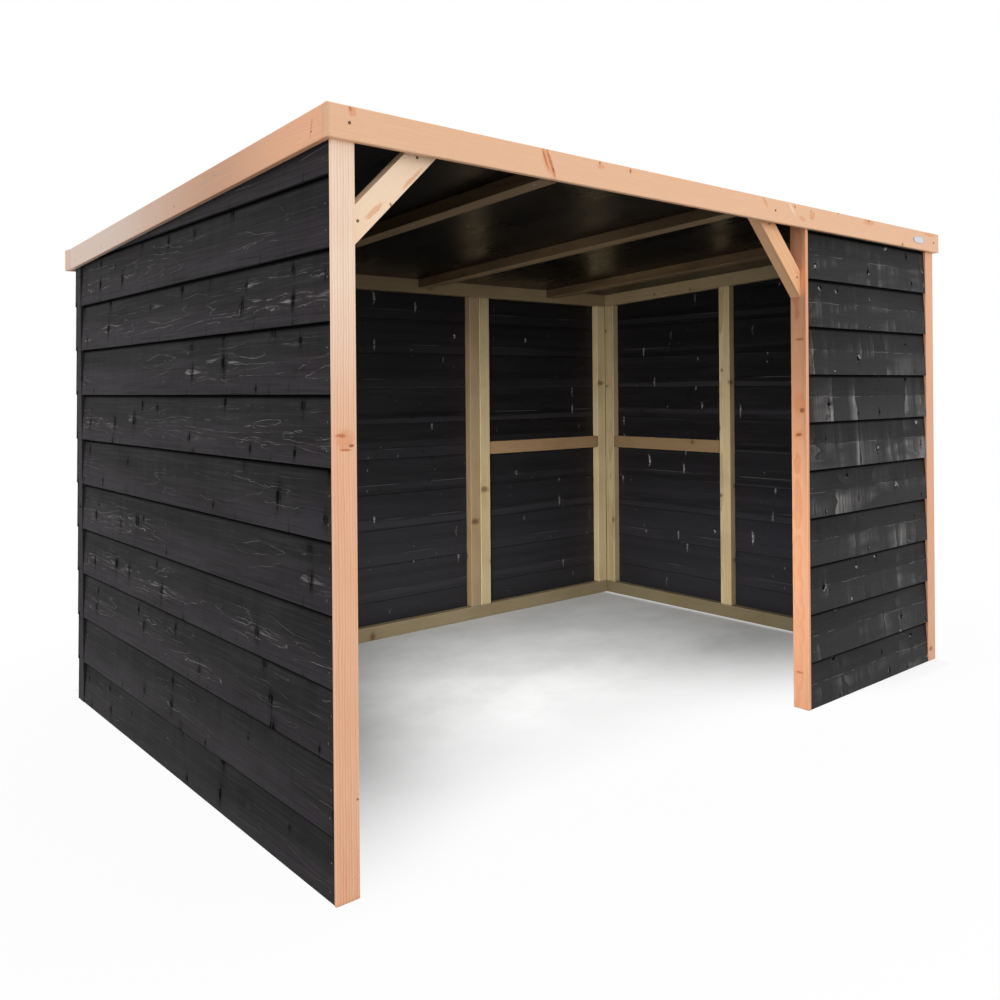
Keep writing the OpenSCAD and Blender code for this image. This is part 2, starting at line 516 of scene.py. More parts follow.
@shared({"Grain": None}, ("Bands", "Teeth"))
def saw_marks(w, grain):
    """Bands and fine lines that a saw leaves across the grain of a rough face."""
    bands = w.remap(w.noise(grain, (17.0, 2.2, 3.0), 2.0, 0.6), 0.3, 0.7)
    teeth = w.remap(w.noise(grain, (330.0, 9.0, 9.0)), 0.35, 0.65)
    return bands, teeth * w.remap(w.noise(grain, (4.0, 12.0, 4.0)), 0.42, 0.6)


@shared({"Grain": None, "Spacing": 0.26, "Lane": 0.13, "Share": 0.34}, ("Rubs", "Bruises"))
def rub_marks(w, grain, spacing, lane, share):
    """Pale rubs that stand across the grain, bent and tapered, and small bruises between them."""
    along, across, _ = w.split(grain)
    from_x, from_y, chance = w.cells(along, across, spacing, lane, 0.9)
    tall = from_y / w.linear(chance[2], 0.034, 0.012)
    bend = tall ** 2.0 * ((chance[1] - 0.5) * 0.03)
    taper = w.linear(tall, 0.004, w.linear(chance[1], 0.003, 0.006))
    wide = (from_x - bend) / w.larger(taper, 0.001)
    rub = w.remap(w.hypot(wide, tall), 1.0, 0.45) * w.maths("LESS_THAN", chance[0], share)
    rub = rub * w.remap(w.noise(grain, (60.0, 120.0, 60.0), 2.0), 0.36, 0.6, 0.08, 1.0)
    rub = rub * w.remap(chance[1], 0.0, 1.0, 0.25, 1.0)
    from_x, from_y, chance = w.cells(along, across, 0.07, 0.05, 0.9)
    far = w.hypot(from_x, from_y * 0.6) / w.linear(chance[1], 0.004, 0.0012)
    bruise = w.remap(far, 1.0, 0.2) * w.maths("LESS_THAN", chance[0], 0.12) * chance[2]
    return rub, bruise


@shared({}, ("Arrises",))
def planed_arrises(w):
    """Where a timber's planed edges turn between its square faces."""
    facing = w.wire("ShaderNodeNewGeometry", output="Normal")
    x, y, z = w.split(w.vectors("ABSOLUTE", facing))
    return w.remap(w.larger(w.larger(x, y), z), 0.93, 0.8)


@shared({"Place": None, "Centre": None, "Half Size": None, "Lean": 0.0, "Unevenness": 0.35},
        ("Mark",))
def timber_mark(w, place, centre, half_size, lean, unevenness):
    """One soft-edged mark at a place: its half sizes, and how far it leans as it rises."""
    apart = w.vectors("SUBTRACT", place, centre)
    aside = w.split(apart)[2] * lean
    apart = w.vectors("ADD", apart, w.merge(aside, aside, 0.0))
    uneven = (w.noise(place, (95.0, 95.0, 95.0), 2.0) - 0.5) * unevenness
    return w.remap(w.linear(uneven, 2.0, w.length(w.vectors("DIVIDE", apart, half_size))), 1.0, 0.45)


@shared({"Grain": None}, ("Dirt", "Specks"))
def worn_spots(w, grain):
    """Soft dirt and handling marks, larger and smaller, over any surface."""
    return (w.remap(w.noise(grain, (3.1, 3.1, 3.1), 4.0, 0.6), 0.4, 0.75),
            w.remap(w.noise(grain, (240.0, 240.0, 240.0)), 0.68, 0.78))


# ---------------------------------------------------------------- finishes

def empty_tree(owner):
    """The node tree of a new material or world, without the nodes that it starts with."""
    owner.use_nodes = True
    owner.node_tree.nodes.clear()
    return owner.node_tree


class Finish(Wiring):
    """A new material: its surface shader, and its colour, which is built up in coats."""

    def __init__(self, name, **constants):
        """The constants go on the shader's own sockets."""
        self.material = bpy.data.materials.new(name)
        super().__init__(empty_tree(self.material))
        self.surface = self.node("ShaderNodeBsdfPrincipled", spaced(constants))
        self.node("ShaderNodeOutputMaterial", {0: Wire(self, self.surface.outputs[0])})

    def ground(self, share, first, second):
        """Starts the colour from two tones."""
        self.colour = self.blend(share, full(first), full(second))

    def coat(self, tone, mask, share=None):
        """Lays a tone over the colour where the mask is, no thicker than the share."""
        mask = mask if share is None else mask * share
        self.colour = self.blend(mask, self.colour, full(tone))

    def done(self, relief, depth, **others):
        """Joins the colour, the relief and any other values to the surface shader."""
        bump = self.wire("ShaderNodeBump", {"Height": relief, "Distance": depth, "Strength": 1.0})
        for name, value in {"Base Color": self.colour, "Normal": bump, **spaced(others)}.items():
            self.join(value, self.surface.inputs[name])
        return self.material


# turns that bring a timber's own direction onto X
TURNS = {"x": (0, 0, 0), "y": (0, 0, -QUARTER), "z": (0, QUARTER, 0),
         "rising": (0, QUARTER / 2, 0), "falling": (0, 3 * QUARTER / 2, 0)}


def length_axis(node):
    """The axis that a timber is longest along."""
    size = size_of(node)
    return "xyz"[max(range(3), key=lambda axis: size[axis])]


def grain_shift(node):
    """How far a timber's figure is moved along, so that no two timbers are alike."""
    return random.Random(node).uniform(5, 60)


def timber_grain(w, node, way=None):
    """A grain vector for a frame timber, measured from its middle, with a shift of its own."""
    turn = Euler(TURNS[way or length_axis(node)])
    shift = Vector((grain_shift(node), 0, 0)) - turn.to_matrix() @ middle_of(node)
    return w.wire("ShaderNodeMapping", {"Vector": w.place(), "Location": shift, "Rotation": turn})


def board_grain(w):
    """The grain vector that each cladding board carries."""
    return w.wire("ShaderNodeAttribute", output="Vector", attribute_name="grain")


def board_tone(w):
    """How dry the board is; on the front panel, how strong its painted sheen is."""
    return w.wire("ShaderNodeAttribute", output="Fac", attribute_name="tone")


# the tones of the marks that a timber may be given, and how strong each is
MARK_TONES = {
    "knot": (shade(140, 74, 40), 0.8), "stain": (shade(196, 104, 58), 0.75),
    "bloom": (shade(226, 150, 100), 0.55), "pale": (shade(255, 232, 208), 0.75),
    "screw": (shade(52, 34, 26), 0.9),
}


def planed_timber(name, node, light, dark, knot, bloom, contrast, figure, way=None, rough=0.6,
                  bleach=(), grimy=0.0):
    """Planed timber: light and dark wood of the rings, knots, and a bloom of another tone."""
    chance = random.Random(name)
    w = Finish(name, Specular_IOR_Level=0.35)
    place, grain = w.place(), timber_grain(w, node, way)
    wood = w.effect(timber_figure, Grain=grain, Pith_Across=chance.uniform(-0.05, 0.05),
                    Pith_Depth=chance.choice((-1, 1)) * chance.uniform(0.02, 0.09),
                    Knot_Lane=0.085, **figure)
    spots = w.effect(worn_spots, Grain=grain)
    lines = w.linear(wood["Fibres"], 0.18, wood["Rings"] * contrast, clamp=True)
    w.ground(lines, light, dark)
    w.coat(bloom, wood["Patches"], 0.75)
    w.coat(dark, lines, 0.5)
    # tones ramped along an axis: painted light lightening the left front post towards its top, and
    # the left fascia darker in its middle and greyer towards the back
    for tone, axis, low, high in bleach:
        w.coat(tone, w.remap(w.split(place)["xyz".index(axis)], low, high),
               w.linear(lines, -0.6, 0.85))
    w.coat(dark, wood["Flares"], 0.3)
    w.coat(knot, wood["Knot Rims"], 0.45)
    w.coat(knot, wood["Knots"], 0.8)
    for kind, centre, half_size, lean in marks_of(node):
        tone, share = MARK_TONES[kind]
        mark = w.effect(timber_mark, Place=place, Centre=centre, Half_Size=half_size, Lean=lean,
                        Unevenness=0.0 if kind == "screw" else 0.4)
        w.coat(tone, mark["Mark"], share)
    w.coat(dark, spots["Dirt"], 0.12 + grimy)
    w.coat(knot, spots["Specks"], 0.1 + grimy)
    if way is None:
        # painted highlight along the planed arrises
        w.coat(Vector(light) * 1.15, w.effect(planed_arrises)["Arrises"], 0.6)
        # dirt in the joints at the timber's ends
        half = max(size_of(node)) / 2
        end = abs(w.split(grain)[0] - grain_shift(node))
        w.coat(Vector(knot) * 0.6, w.remap(end, half - 9 * MM, half - 1 * MM), 0.15 + grimy)
    if "rafter" in node:
        # painted shade: the rafters' sides are darker than their undersides
        side = abs(w.split(w.wire("ShaderNodeNewGeometry", output="Normal"))[0])
        w.coat(Vector(dark) * 0.25, w.remap(side, 0.5, 0.9),
               w.remap(wood["Patches"], 0.0, 1.0, 0.35, 0.75))
    relief = wood["Rings"] * 0.5 + wood["Fibres"] * 0.5 - wood["Knots"] * 0.6
    return w.done(relief, 0.25 * MM, Roughness=w.linear(lines, -0.12, rough))


def stained_outside(name, settings, source=board_grain):
    """Sawn boards under a thin dark stain: fine fibres, thin pale grain loops, dark knots."""
    w = Finish(name)
    grain, tone = source(w), board_tone(w)
    stain, dry = Vector(settings.outer_stain), settings.dry_grain
    wood = w.effect(timber_figure, Grain=grain, Ring_Width=0.0085, Pith_Across=0.085,
                    Pith_Depth=0.035, Wander=0.11, Knot_Spacing=0.24, Knot_Lane=0.1,
                    Knot_Size=0.0125, Knot_Share=0.6)
    along, rise, depth = w.split(grain)
    flow = w.merge(along, wood["Parted"], depth)
    loops = w.effect(grain_loops, Grain=flow)["Loops"]
    saw = w.effect(saw_marks, Grain=grain)
    spots = w.effect(worn_spots, Grain=grain)
    w.ground(wood["Patches"], stain * 0.85, stain * 1.25)
    w.coat(stain * 1.5, tone, 0.45)
    # painted light: the walls are a little lighter towards the back
    w.coat(stain * 1.9, w.remap(w.split(w.place())[1], -0.1, 1.0, 0.0, 0.4))
    # the upper part of each board is darker, partly painted shade under the next board's lap and
    # partly stain lying thicker there
    height = w.linear(w.noise(grain, (2.0, 9.0, 3.0)), 0.06, rise)
    w.coat(stain * 0.35, w.remap(height, 0.08, 0.16, 0.0, 0.6))
    # painted light: each board is lighter towards its lower edge
    w.coat(stain * 1.9, w.remap(height, 0.1, 0.03, 0.0, 0.4))
    fine = w.noise(grain, (3.5, 150.0, 90.0), 3.0, 0.6)
    w.coat(stain * 3.4, w.remap(fine, 0.5, 0.66, 0.0, 0.18))
    w.coat(stain * 0.35, w.remap(fine, 0.48, 0.34, 0.0, 0.5))
    w.coat(stain * 3.0, saw["Bands"], 0.05)
    w.coat(stain * 3.0, saw["Teeth"], 0.05)
    # the loops and the streaks beside the knots keep to the middle of the board, here and there
    heart = w.remap(rise, 0.015, 0.05) * w.remap(rise, 0.16, 0.12)
    where = heart * w.remap(w.noise(grain, (1.5, 9.0, 3.0)), 0.42, 0.58)
    where = w.maths("MULTIPLY", where, w.linear(tone, 0.8, 0.3), clamp=True)
    broken = w.remap(w.noise(grain, (16.0, 70.0, 20.0), 3.0), 0.38, 0.62, 0.1, 1.0)
    w.coat(dry, w.larger(loops * broken * where, wood["Eyes"] * broken * heart), 0.5)
    flare = w.remap(w.noise(flow, (8.0, 210.0, 60.0), 3.0), 0.5, 0.66) * wood["Flares"]
    flare = flare * (heart * w.remap(tone, 0.3, 1.0))
    fray = w.remap(w.noise(grain, (9.0, 520.0, 60.0), 2.0), 0.42, 0.58, 0.1, 1.0)
    w.coat(dry, flare * fray, 0.9)
    drips = w.remap(w.noise(grain, (34.0, 5.0, 3.0)), 0.6, 0.7) * w.remap(rise, 0.05, 0.0)
    w.coat(stain * 0.3, drips, 0.65)
    w.coat(stain * 0.08, wood["Smears"], 0.95)
    w.coat(stain * 0.08, wood["Knots"], 0.45)
    w.coat(stain * 0.6, spots["Dirt"], 0.15)
    # painted shadow right under the next board's lap; it and the knots have no sheen
    lap_shadow = w.remap(rise, 0.163, 0.174)
    w.coat(stain * 0.05, lap_shadow, 0.92)
    dull = w.larger(lap_shadow, w.linear(wood["Knots"], 0.3, wood["Smears"], clamp=True))
    rough = w.linear(saw["Bands"], -0.03, w.linear(wood["Patches"], -0.08, 0.74))
    relief = w.linear(wood["Fibres"], 0.3, fine * 1.2)
    for mark, height in ((loops, 0.3), (saw["Bands"], 0.2), (wood["Knots"], -1.2)):
        relief = w.linear(mark, height, relief)
    return w.done(relief, 0.5 * MM, Roughness=rough,
                  Specular_IOR_Level=w.linear(dull, -0.08, 0.085))


def planed_outside(name, settings, source=board_grain):
    """Planed boards under the stain: a sheen, painted highlights in brushed upright streaks and a
    lighter lower half, painted shade under each lap, and pale-eyed knots.
    """
    w = Finish(name)
    grain, tone = source(w), board_tone(w)
    stain, dry = Vector(settings.panel_stain), Vector(settings.dry_grain)
    wood = w.effect(timber_figure, Grain=grain, Ring_Width=0.0085, Pith_Across=0.085,
                    Pith_Depth=0.035, Wander=0.11, Knot_Spacing=0.2, Knot_Lane=0.11,
                    Knot_Size=0.01, Knot_Share=0.55)
    spots = w.effect(worn_spots, Grain=grain)
    along, rise, _ = w.split(grain)
    w.ground(wood["Patches"], stain * 0.8, stain * 1.3)
    fine = w.noise(grain, (4.0, 150.0, 90.0), 3.0, 0.6)
    w.coat(stain * 4.0, w.remap(fine, 0.5, 0.66, 0.0, 0.2))
    brushed = w.remap(w.noise(grain, (70.0, 4.0, 3.0), 3.0), 0.3, 0.7, 0.35, 1.0)
    patch = w.remap(w.linear(tone, 0.14, w.noise(grain, (2.6, 12.0, 3.0), 2.0)), 0.46, 0.7)

    def strokes(steps, sway):
        """Painted highlights as upright strokes of uneven width: each starts at a sharp, wavy edge
        and fades away.
        """
        spread = w.noise(grain, (3.6, 0.5, 1.0)) * sway
        waver = w.noise(grain, (5.0, 16.0, 2.0)) * 0.45
        run = w.linear(along, steps, tone * 60.0) + (spread + waver)
        start = w.maths("FRACT", run)
        bright = (1.0 - start) ** 1.7 * w.remap(w.dice(run), 0.35, 1.0)
        return bright, w.remap(start, 0.9, 1.0)

    broad, broad_edge = strokes(6.0, 5.0)
    narrow, narrow_edge = strokes(-15.0, -6.0)
    wave = w.linear(w.noise(grain, (7.0, 2.0, 2.0)), 0.02, rise)
    low_half = w.remap(wave, 0.114, 0.1)
    # painted highlight: the sheen streaks, stronger on the lower half and on boards of higher tone
    streaks = w.larger(broad, narrow * 0.8) * (patch * brushed)
    streaks = streaks * w.linear(low_half, 0.75, 0.35) * w.linear(tone, 1.3, 0.1)
    seam = w.remap(abs(wave - 0.107), 0.0014, 0.0004)
    seam = seam * w.remap(w.noise(grain, (14.0, 3.0, 3.0), 2.0), 0.46, 0.62)
    # painted light: the lower half of each board is lighter
    low_glow = low_half * w.remap(rise, 0.1, 0.0, 0.25, 0.6)
    w.coat(stain * 3.2, low_glow, w.linear(tone, 1.0, 0.02))
    w.coat(dry, streaks, 0.85)
    # a dark line at the sharp edge of each painted highlight stroke
    w.coat(stain * 0.2, w.larger(broad_edge, narrow_edge) * patch, 0.6)
    w.coat(dry, seam, 0.4)
    # painted shade on the upper part of each board, under the next board's lap
    w.coat(stain * 0.4, w.remap(rise, 0.1, 0.165, 0.0, 0.55))
    w.coat(stain * 0.15, wood["Smears"], 0.85)
    blot = w.remap(w.noise(grain, (60.0, 60.0, 30.0)), 0.55, 0.65)
    w.coat(dry, wood["Knot Rims"], blot * 0.5)
    w.coat(stain * 0.12, wood["Knots"], 0.9)
    w.coat(dry * 1.5, wood["Knots"], blot * 0.6)
    w.coat(dry, spots["Specks"], 0.15)
    # painted shadow right under the next board's lap
    lap_shadow = w.remap(rise, 0.168, 0.18)
    w.coat(stain * 0.05, lap_shadow, 0.92)
    dull = w.larger(lap_shadow, w.larger(wood["Smears"], wood["Knots"]))
    rough = w.linear(low_half, -0.08, w.linear(wood["Patches"], 0.12, 0.44))
    relief = w.linear(wood["Knots"], -1.0, w.linear(fine, 0.6, streaks))
    relief = w.linear(wood["Patches"], 1.4, relief)
    return w.done(relief, 0.5 * MM, Roughness=rough, Specular_IOR_Level=w.linear(dull, -0.09, 0.1))


def stained_inside(name, settings):
    """Planed inner faces of the boards, nearly black, with thin pale lines, rubs and bruises."""
    w = Finish(name, Specular_IOR_Level=0.3)
    grain, tone = board_grain(w), board_tone(w)
    stain, dry = Vector(settings.inner_stain), settings.dry_grain
    wood = w.effect(timber_figure, Grain=grain, Ring_Width=0.007, Pith_Across=0.1,
                    Pith_Depth=-0.04, Wander=0.11, Knot_Spacing=0.34, Knot_Lane=0.1,
                    Knot_Size=0.009, Knot_Share=0.6)
    rubs = w.effect(rub_marks, Grain=grain)
    rise = w.split(grain)[1]
    w.ground(wood["Patches"], stain * 0.6, stain * 1.3)
    w.coat(stain * 2.2, tone, 0.6)
    # level bands where the stain took more and less
    band = w.linear(w.noise(grain, (1.1, 3.0, 3.0)), 1.1, w.linear(rise, 34.0, tone * 40.0))
    band = w.dice(band)
    w.coat(stain * 0.25, w.remap(band, 0.4, 0.0), 0.75)
    w.coat(stain * 3.2, w.remap(band, 0.6, 1.0), 0.45)
    # the upper part of each board is darker down to a thin groove with a pale lip
    w.coat(stain * 0.45, w.remap(rise, 0.062, 0.07, 0.0, 0.5))
    lip = w.remap(abs(rise - (GROOVE_RISE - GROOVE)), 0.0016, 0.0006)
    lip = lip * w.remap(w.noise(grain, (3.4, 4.0, 4.0), 2.0), 0.52, 0.64)
    streak = w.remap(w.noise(grain, (3.5, 130.0, 60.0), 3.0), 0.52, 0.68)
    w.coat(stain * 4.0, streak, 0.22)
    w.coat(dry, lip, 0.2)
    w.coat(stain * 0.3, wood["Knots"], 0.7)
    # painted light: lighter and bluer low down; painted shade: darker high up under the roof
    height = w.split(w.place())[2]
    w.coat(settings.weathered, w.remap(height, 1.0, 0.35, 0.0, 0.32))
    w.coat(stain * 0.4, w.remap(height, 1.2, 1.7, 0.0, 0.35))
    w.coat(dry, rubs["Rubs"], 0.75)
    w.coat(dry, rubs["Bruises"], 0.4)
    rough = w.linear(wood["Patches"], 0.12, w.linear(rubs["Rubs"], 0.2, 0.46))
    relief = w.linear(wood["Knots"], 1.0, wood["Fibres"] * 0.2)
    return w.done(relief, 0.3 * MM, Roughness=rough)


def film_finish(name, settings):
    """Dark film-faced sheets under the roof, glossy and faintly uneven."""
    w = Finish(name, Specular_IOR_Level=0.22)
    place, film = w.place(), Vector(settings.film)
    cloud = w.remap(w.noise(place, (3.2, 1.4, 1.0), 3.0, 0.6), 0.35, 0.7)
    w.ground(cloud, film * 0.6, film * 1.3)
    across = w.maths("FRACT", w.linear(w.split(place)[0], 1 / SHEET_WIDTH, 0.13))
    joint = w.remap(abs(across - 0.5), 0.0022, 0.0012)
    w.coat(film * 0.2, joint, 0.8)
    return w.done(w.noise(place, (4.0, 4.0, 4.0)) - joint * 0.6, 0.6 * MM,
                  Roughness=w.linear(cloud, 0.1, 0.26))


def felt_finish(name, settings):
    """Mineral roofing felt: dark grey chips, worn by rain in long soft streaks."""
    w = Finish(name, Specular_IOR_Level=0.3)
    place, felt = w.place(), Vector(settings.felt)
    spots = w.effect(worn_spots, Grain=place)
    chips = w.wires("ShaderNodeTexVoronoi", {"Vector": place, "Scale": 520.0})
    tone = w.split(chips["Color"])[0]
    w.ground(tone, felt * 0.55, felt * 1.6)
    w.coat(felt * 0.5, w.remap(w.noise(place, (9.0, 0.7, 1.0), 3.0), 0.35, 0.7), 0.3)
    w.coat(felt * 1.9, spots["Dirt"], 0.3)
    return w.done(chips["Distance"] + spots["Dirt"], 0.6 * MM,
                  Roughness=w.linear(tone, -0.15, 0.9))


def metal_finish(name, light, tarnish, rough):
    """Fixings: bright or coated metal with tarnish in soft spots."""
    w = Finish(name, Metallic=0.85)
    place = w.place()
    bloom = w.remap(w.noise(place, (700.0, 700.0, 700.0), 2.0), 0.35, 0.65)
    w.ground(bloom, light, tarnish)
    w.coat(tarnish, w.effect(worn_spots, Grain=place)["Dirt"], 0.3)
    return w.done(bloom, 0.05 * MM, Roughness=w.linear(bloom, 0.2, rough))


def plate_finish(name, settings):
    """Blank brushed plate under clear lacquer."""
    w = Finish(name, Metallic=0.25, Specular_IOR_Level=0.5, Coat_Weight=0.3, Coat_Roughness=0.15)
    place, plate = w.place(), Vector(settings.plate)
    brushed = w.noise(place, (25.0, 400.0, 1600.0), 2.0)
    w.ground(w.remap(brushed, 0.3, 0.7), plate * 0.88, plate)
    w.coat(plate * 0.6, w.effect(worn_spots, Grain=place)["Dirt"], 0.15)
    # a dark line round the rim
    size = size_of("name_plate")
    out = w.length(w.vectors("DIVIDE", w.vectors("SUBTRACT", place, middle_of("name_plate")),
                             (size.x / 2, 1.0, size.z / 2)))
    w.coat(plate * 0.14, w.remap(out, 0.93, 0.975, 0.0, 0.75))
    return w.done(brushed, 0.03 * MM, Roughness=w.linear(brushed, 0.2, 0.28))


# ---------------------------------------------------------------- settings

def millimetres(name, description, default):
    """A length among the settings."""
    return FloatProperty(name=name, description=description, default=default * MM,
                         unit="LENGTH")


def tint(name, description, red, green, blue):
    """A colour among the settings, given in everyday 0 to 255 steps."""
    return FloatVectorProperty(name=name, description=description,
                               default=shade(red, green, blue), subtype="COLOR")


def watts(name, description, default):
    """A lamp's power among the settings."""
    return FloatProperty(name=name, description=description, default=default, unit="POWER")


class BoardSettings(bpy.types.PropertyGroup):
    """Sizes and colours of the cladding boards."""
    width: millimetres("Board width", "Width of a side or back board", 195)
    first_lap: millimetres("First lap", "Height of the second course's lower edge", 164)
    pitch: millimetres("Course height", "Rise from one side or back course to the next", 179.5)
    panel_width: millimetres("Panel board width", "Width of a front panel board", 202)
    panel_first_lap: millimetres("Panel first lap", "Height of the panel's second lower edge", 180)
    panel_pitch: millimetres("Panel course height", "Rise from one panel course to the next", 186.5)
    head: millimetres("Thin edge", "Thickness at a board's upper edge", 12)
    warp: millimetres("Warp", "How far the boards bow out of true", 0.9)
    outer_stain: tint("Outer stain", "Stain on the sawn faces", 38, 36, 38)
    panel_stain: tint("Panel stain", "Stain on the planed front panel", 28, 27, 27)
    inner_stain: tint("Inner stain", "Stain on the planed inner faces", 22, 21, 23)
    # painted light on the inner faces low down
    weathered: tint("Weathered stain", "Inner stain low down", 51, 50, 54)
    # the same pale tone paints the front panel's highlights
    dry_grain: tint("Dry grain", "Where the stain has rubbed thin", 158, 155, 154)
    nail_radius: millimetres("Nail radius", "Radius of the nail heads", 2.6)


class TimberSettings(bpy.types.PropertyGroup):
    """Colours of the posts, braces, fascias and frame timbers."""
    # painted light: the left front post's upper part is lighter
    larch_bleached: tint("Larch, bleached", "Upper part of the left front post", 255, 238, 218)
    larch_shaded: tint("Larch, browned", "Middle of the left fascia", 180, 141, 116)
    larch_greyed: tint("Larch, greyed", "Rear of the left fascia", 214, 200, 190)
    larch_knot: tint("Larch knots", "Knots in the larch", 150, 84, 50)
    pine_light: tint("Pine, early wood", "Light part of the impregnated pine rings",
                       188, 172, 136)
    pine_dark: tint("Pine, late wood", "Dark part of the impregnated pine rings", 146, 124, 88)
    pine_knot: tint("Pine knots", "Knots in the pine", 84, 58, 34)
    screw_radius: millimetres("Screw radius", "Radius of the screw heads", 4)


class RoofSettings(bpy.types.PropertyGroup):
    """Sizes and colours of the roof covering and the plate."""
    sheets: IntProperty(
        name="Felt strips", description="Strips of felt up the roof", default=3, min=1)
    felt_thickness: millimetres("Felt thickness", "Thickness of the felt", 2)
    overlap: millimetres("Overlap", "How far each strip laps the one below", 80)
    film: tint("Film", "Film on the deck's underside", 17, 15, 13)
    felt: tint("Felt", "Roofing felt", 70, 70, 72)
    plate: tint("Plate", "Blank oval plate", 226, 227, 232)


class StageSettings(bpy.types.PropertyGroup):
    """Floor, lamps and camera."""
    floor: tint("Floor", "Colour of the floor", 188, 189, 188)
    floor_glow: FloatProperty(
        name="Floor glow", description="Share of the floor by the walls that is white by itself",
        default=0.96)
    sky: FloatProperty(
        name="Surrounding light", description="Level of the light from all sides", default=0.93)
    key: watts("Key lamp", "Power of the large lamp at the left", 45.0)
    fill: watts("Fill lamp", "Power of the lamp in front", 50.0)
    inner: watts("Inside lamp", "Power of the lamp under the roof", 22.0)
    lens: FloatProperty(
        name="Lens", description="Focal length in millimetres", default=33.65)


# ---------------------------------------------------------------- timbers

BATTENS = ("rear_left_batten", "rear_right_batten")
# what sets one larch timber apart from the next: its light and dark wood, and its direction
# where it runs at a slant
LARCH = {
    "front_left_post": ((250, 200, 163), (224, 142, 98)),
    "middle_post": ((238, 178, 138), (218, 144, 104)),
    "front_right_post": ((242, 188, 152), (222, 152, 114)),
    "left_brace": ((255, 234, 206), (255, 200, 160), "rising"),
    "right_brace": ((250, 200, 154), (226, 158, 110), "falling"),
    "front_fascia": ((244, 199, 163), (230, 168, 126)),
    "left_fascia": ((242, 184, 146), (216, 150, 108)),
    "right_fascia": ((238, 194, 160), (224, 162, 124)),
    "left_fascia_return": ((214, 184, 168), (198, 160, 140)),
    "right_fascia_return": ((236, 188, 154), (222, 160, 120)),
    "back_fascia": ((236, 190, 156), (222, 162, 124)),
}
# how strongly the rings show in each kind of timber, and what its rings and knots are like
FIGURES = {
    "fascia": (0.35, {"Ring_Width": 0.0055, "Wander": 0.05, "Knot_Spacing": 0.6,
                      "Knot_Size": 0.005, "Knot_Share": 0.2}),
    "post": (0.65, {"Ring_Width": 0.0062, "Wander": 0.02, "Knot_Spacing": 0.5,
                    "Knot_Size": 0.005, "Knot_Share": 0.25}),
    "pine": (0.85, {"Ring_Width": 0.0042, "Wander": 0.03, "Knot_Spacing": 0.34,
                    "Knot_Size": 0.0075, "Knot_Share": 0.6}),
}
# how light each pine timber is against the next, partly its own tone and partly painted light and
# shade for how the light falls on it, and how far it leans from green to red
PINE_TONES_AND_SHADE = {
    "back_pair_left_stud": (0.64, 0.07), "back_pair_right_stud": (1.02, 0.0),
    "back_right_end_stud": (1.15, 0.0), "right_rear_stud": (0.8, 0.0),
    "right_middle_stud": (0.98, 0.02), "back_bottom_plate": (0.52, 0.0),
    "right_bottom_plate": (0.36, 0.0), "back_mid_rail": (0.55, 0.16),
    "right_mid_rail": (0.4, 0.14), "left_rafter": (0.4, 0.14), "middle_rafter": (0.42, 0.12),
    "right_rafter": (0.36, 0.14), "back_top_plate": (0.5, 0.06), "right_top_plate": (0.58, 0.04),
    "left_top_plate": (0.6, 0.02),
}
# marks along the front fascia, in mm: kind, place along, height, half length, half height, lean
FASCIA_MARKS = (
    ("knot", 45, 1935, 5, 9, 0.3), ("bloom", 50, 1930, 16, 16, 0.0),
    ("bloom", 705, 1905, 26, 60, 0.42), ("stain", 692, 1915, 6, 40, 0.42),
    ("stain", 717, 1900, 7, 64, 0.42), ("knot", 725, 1885, 5, 9, 0.3),
    ("knot", 920, 1935, 4, 9, 0.0), ("bloom", 925, 1925, 20, 10, 0.0),
    ("bloom", 1785, 1925, 14, 26, 0.8), ("pale", 1960, 1920, 8, 34, 0.95),
    ("stain", 1980, 1930, 8, 9, 0.4), ("bloom", 2030, 1890, 26, 13, 0.8),
    ("knot", 2090, 1925, 5, 7, 0.0), ("knot", 2090, 1900, 5, 5, 0.0),
    ("bloom", 2100, 1910, 26, 24, 0.0), ("knot", 2290, 1940, 10, 4, 0.0),
    ("knot", 2530, 1935, 9, 8, 0.0), ("bloom", 2530, 1930, 60, 18, 0.0),
    ("bloom", 3070, 1935, 70, 12, 0.0),
)
# marks on the other timbers, in mm: kind, place along and into the plan and height, half sizes,
# lean
TIMBER_MARKS = {
    "left_fascia": (("stain", (-19, 60, 1895), (60, 3, 30), 0.3),),
    "front_left_post": (
        ("bloom", (34, 0, 1130), (34, 60, 34), 0.0), ("stain", (22, 0, 1140), (20, 40, 6), 0.9),
        ("knot", (52, 0, 1115), (9, 40, 6), 0.0), ("stain", (36, 0, 1105), (22, 40, 4), 0.0),
        ("knot", (62, 0, 245), (5, 40, 4), 0.0)),
    "left_brace": (
        ("bloom", (260, 30, 1805), (10, 60, 50), -1.0),
        ("bloom", (140, 30, 1705), (14, 60, 40), -1.0),
        ("stain", (76, 30, 1683), (4, 60, 10), 0.0), ("knot", (190, 30, 1725), (5, 60, 8), 0.4)),
    "middle_post": (
        ("stain", (2082, 28, 1435), (40, 24, 7), 0.5),
        ("bloom", (2082, 32, 1185), (40, 34, 60), 0.0),
        ("knot", (2082, 20, 1160), (40, 15, 12), 0.2),
        ("bloom", (2082, 32, 1065), (40, 30, 24), 0.0),
        ("knot", (2082, 36, 1065), (40, 16, 9), 0.4),
        ("stain", (2082, 40, 140), (40, 24, 6), 0.5),
        ("stain", (2110, 0, 1620), (10, 30, 5), 0.3)),
}
# the heads of the screws that hold the side and back fascias
SIDE_SCREWS = ((60, 1886), (943, 1838), (1666, 1800), (1990, 1786))
BACK_SCREWS = (60, 1080, 2090, 3078)


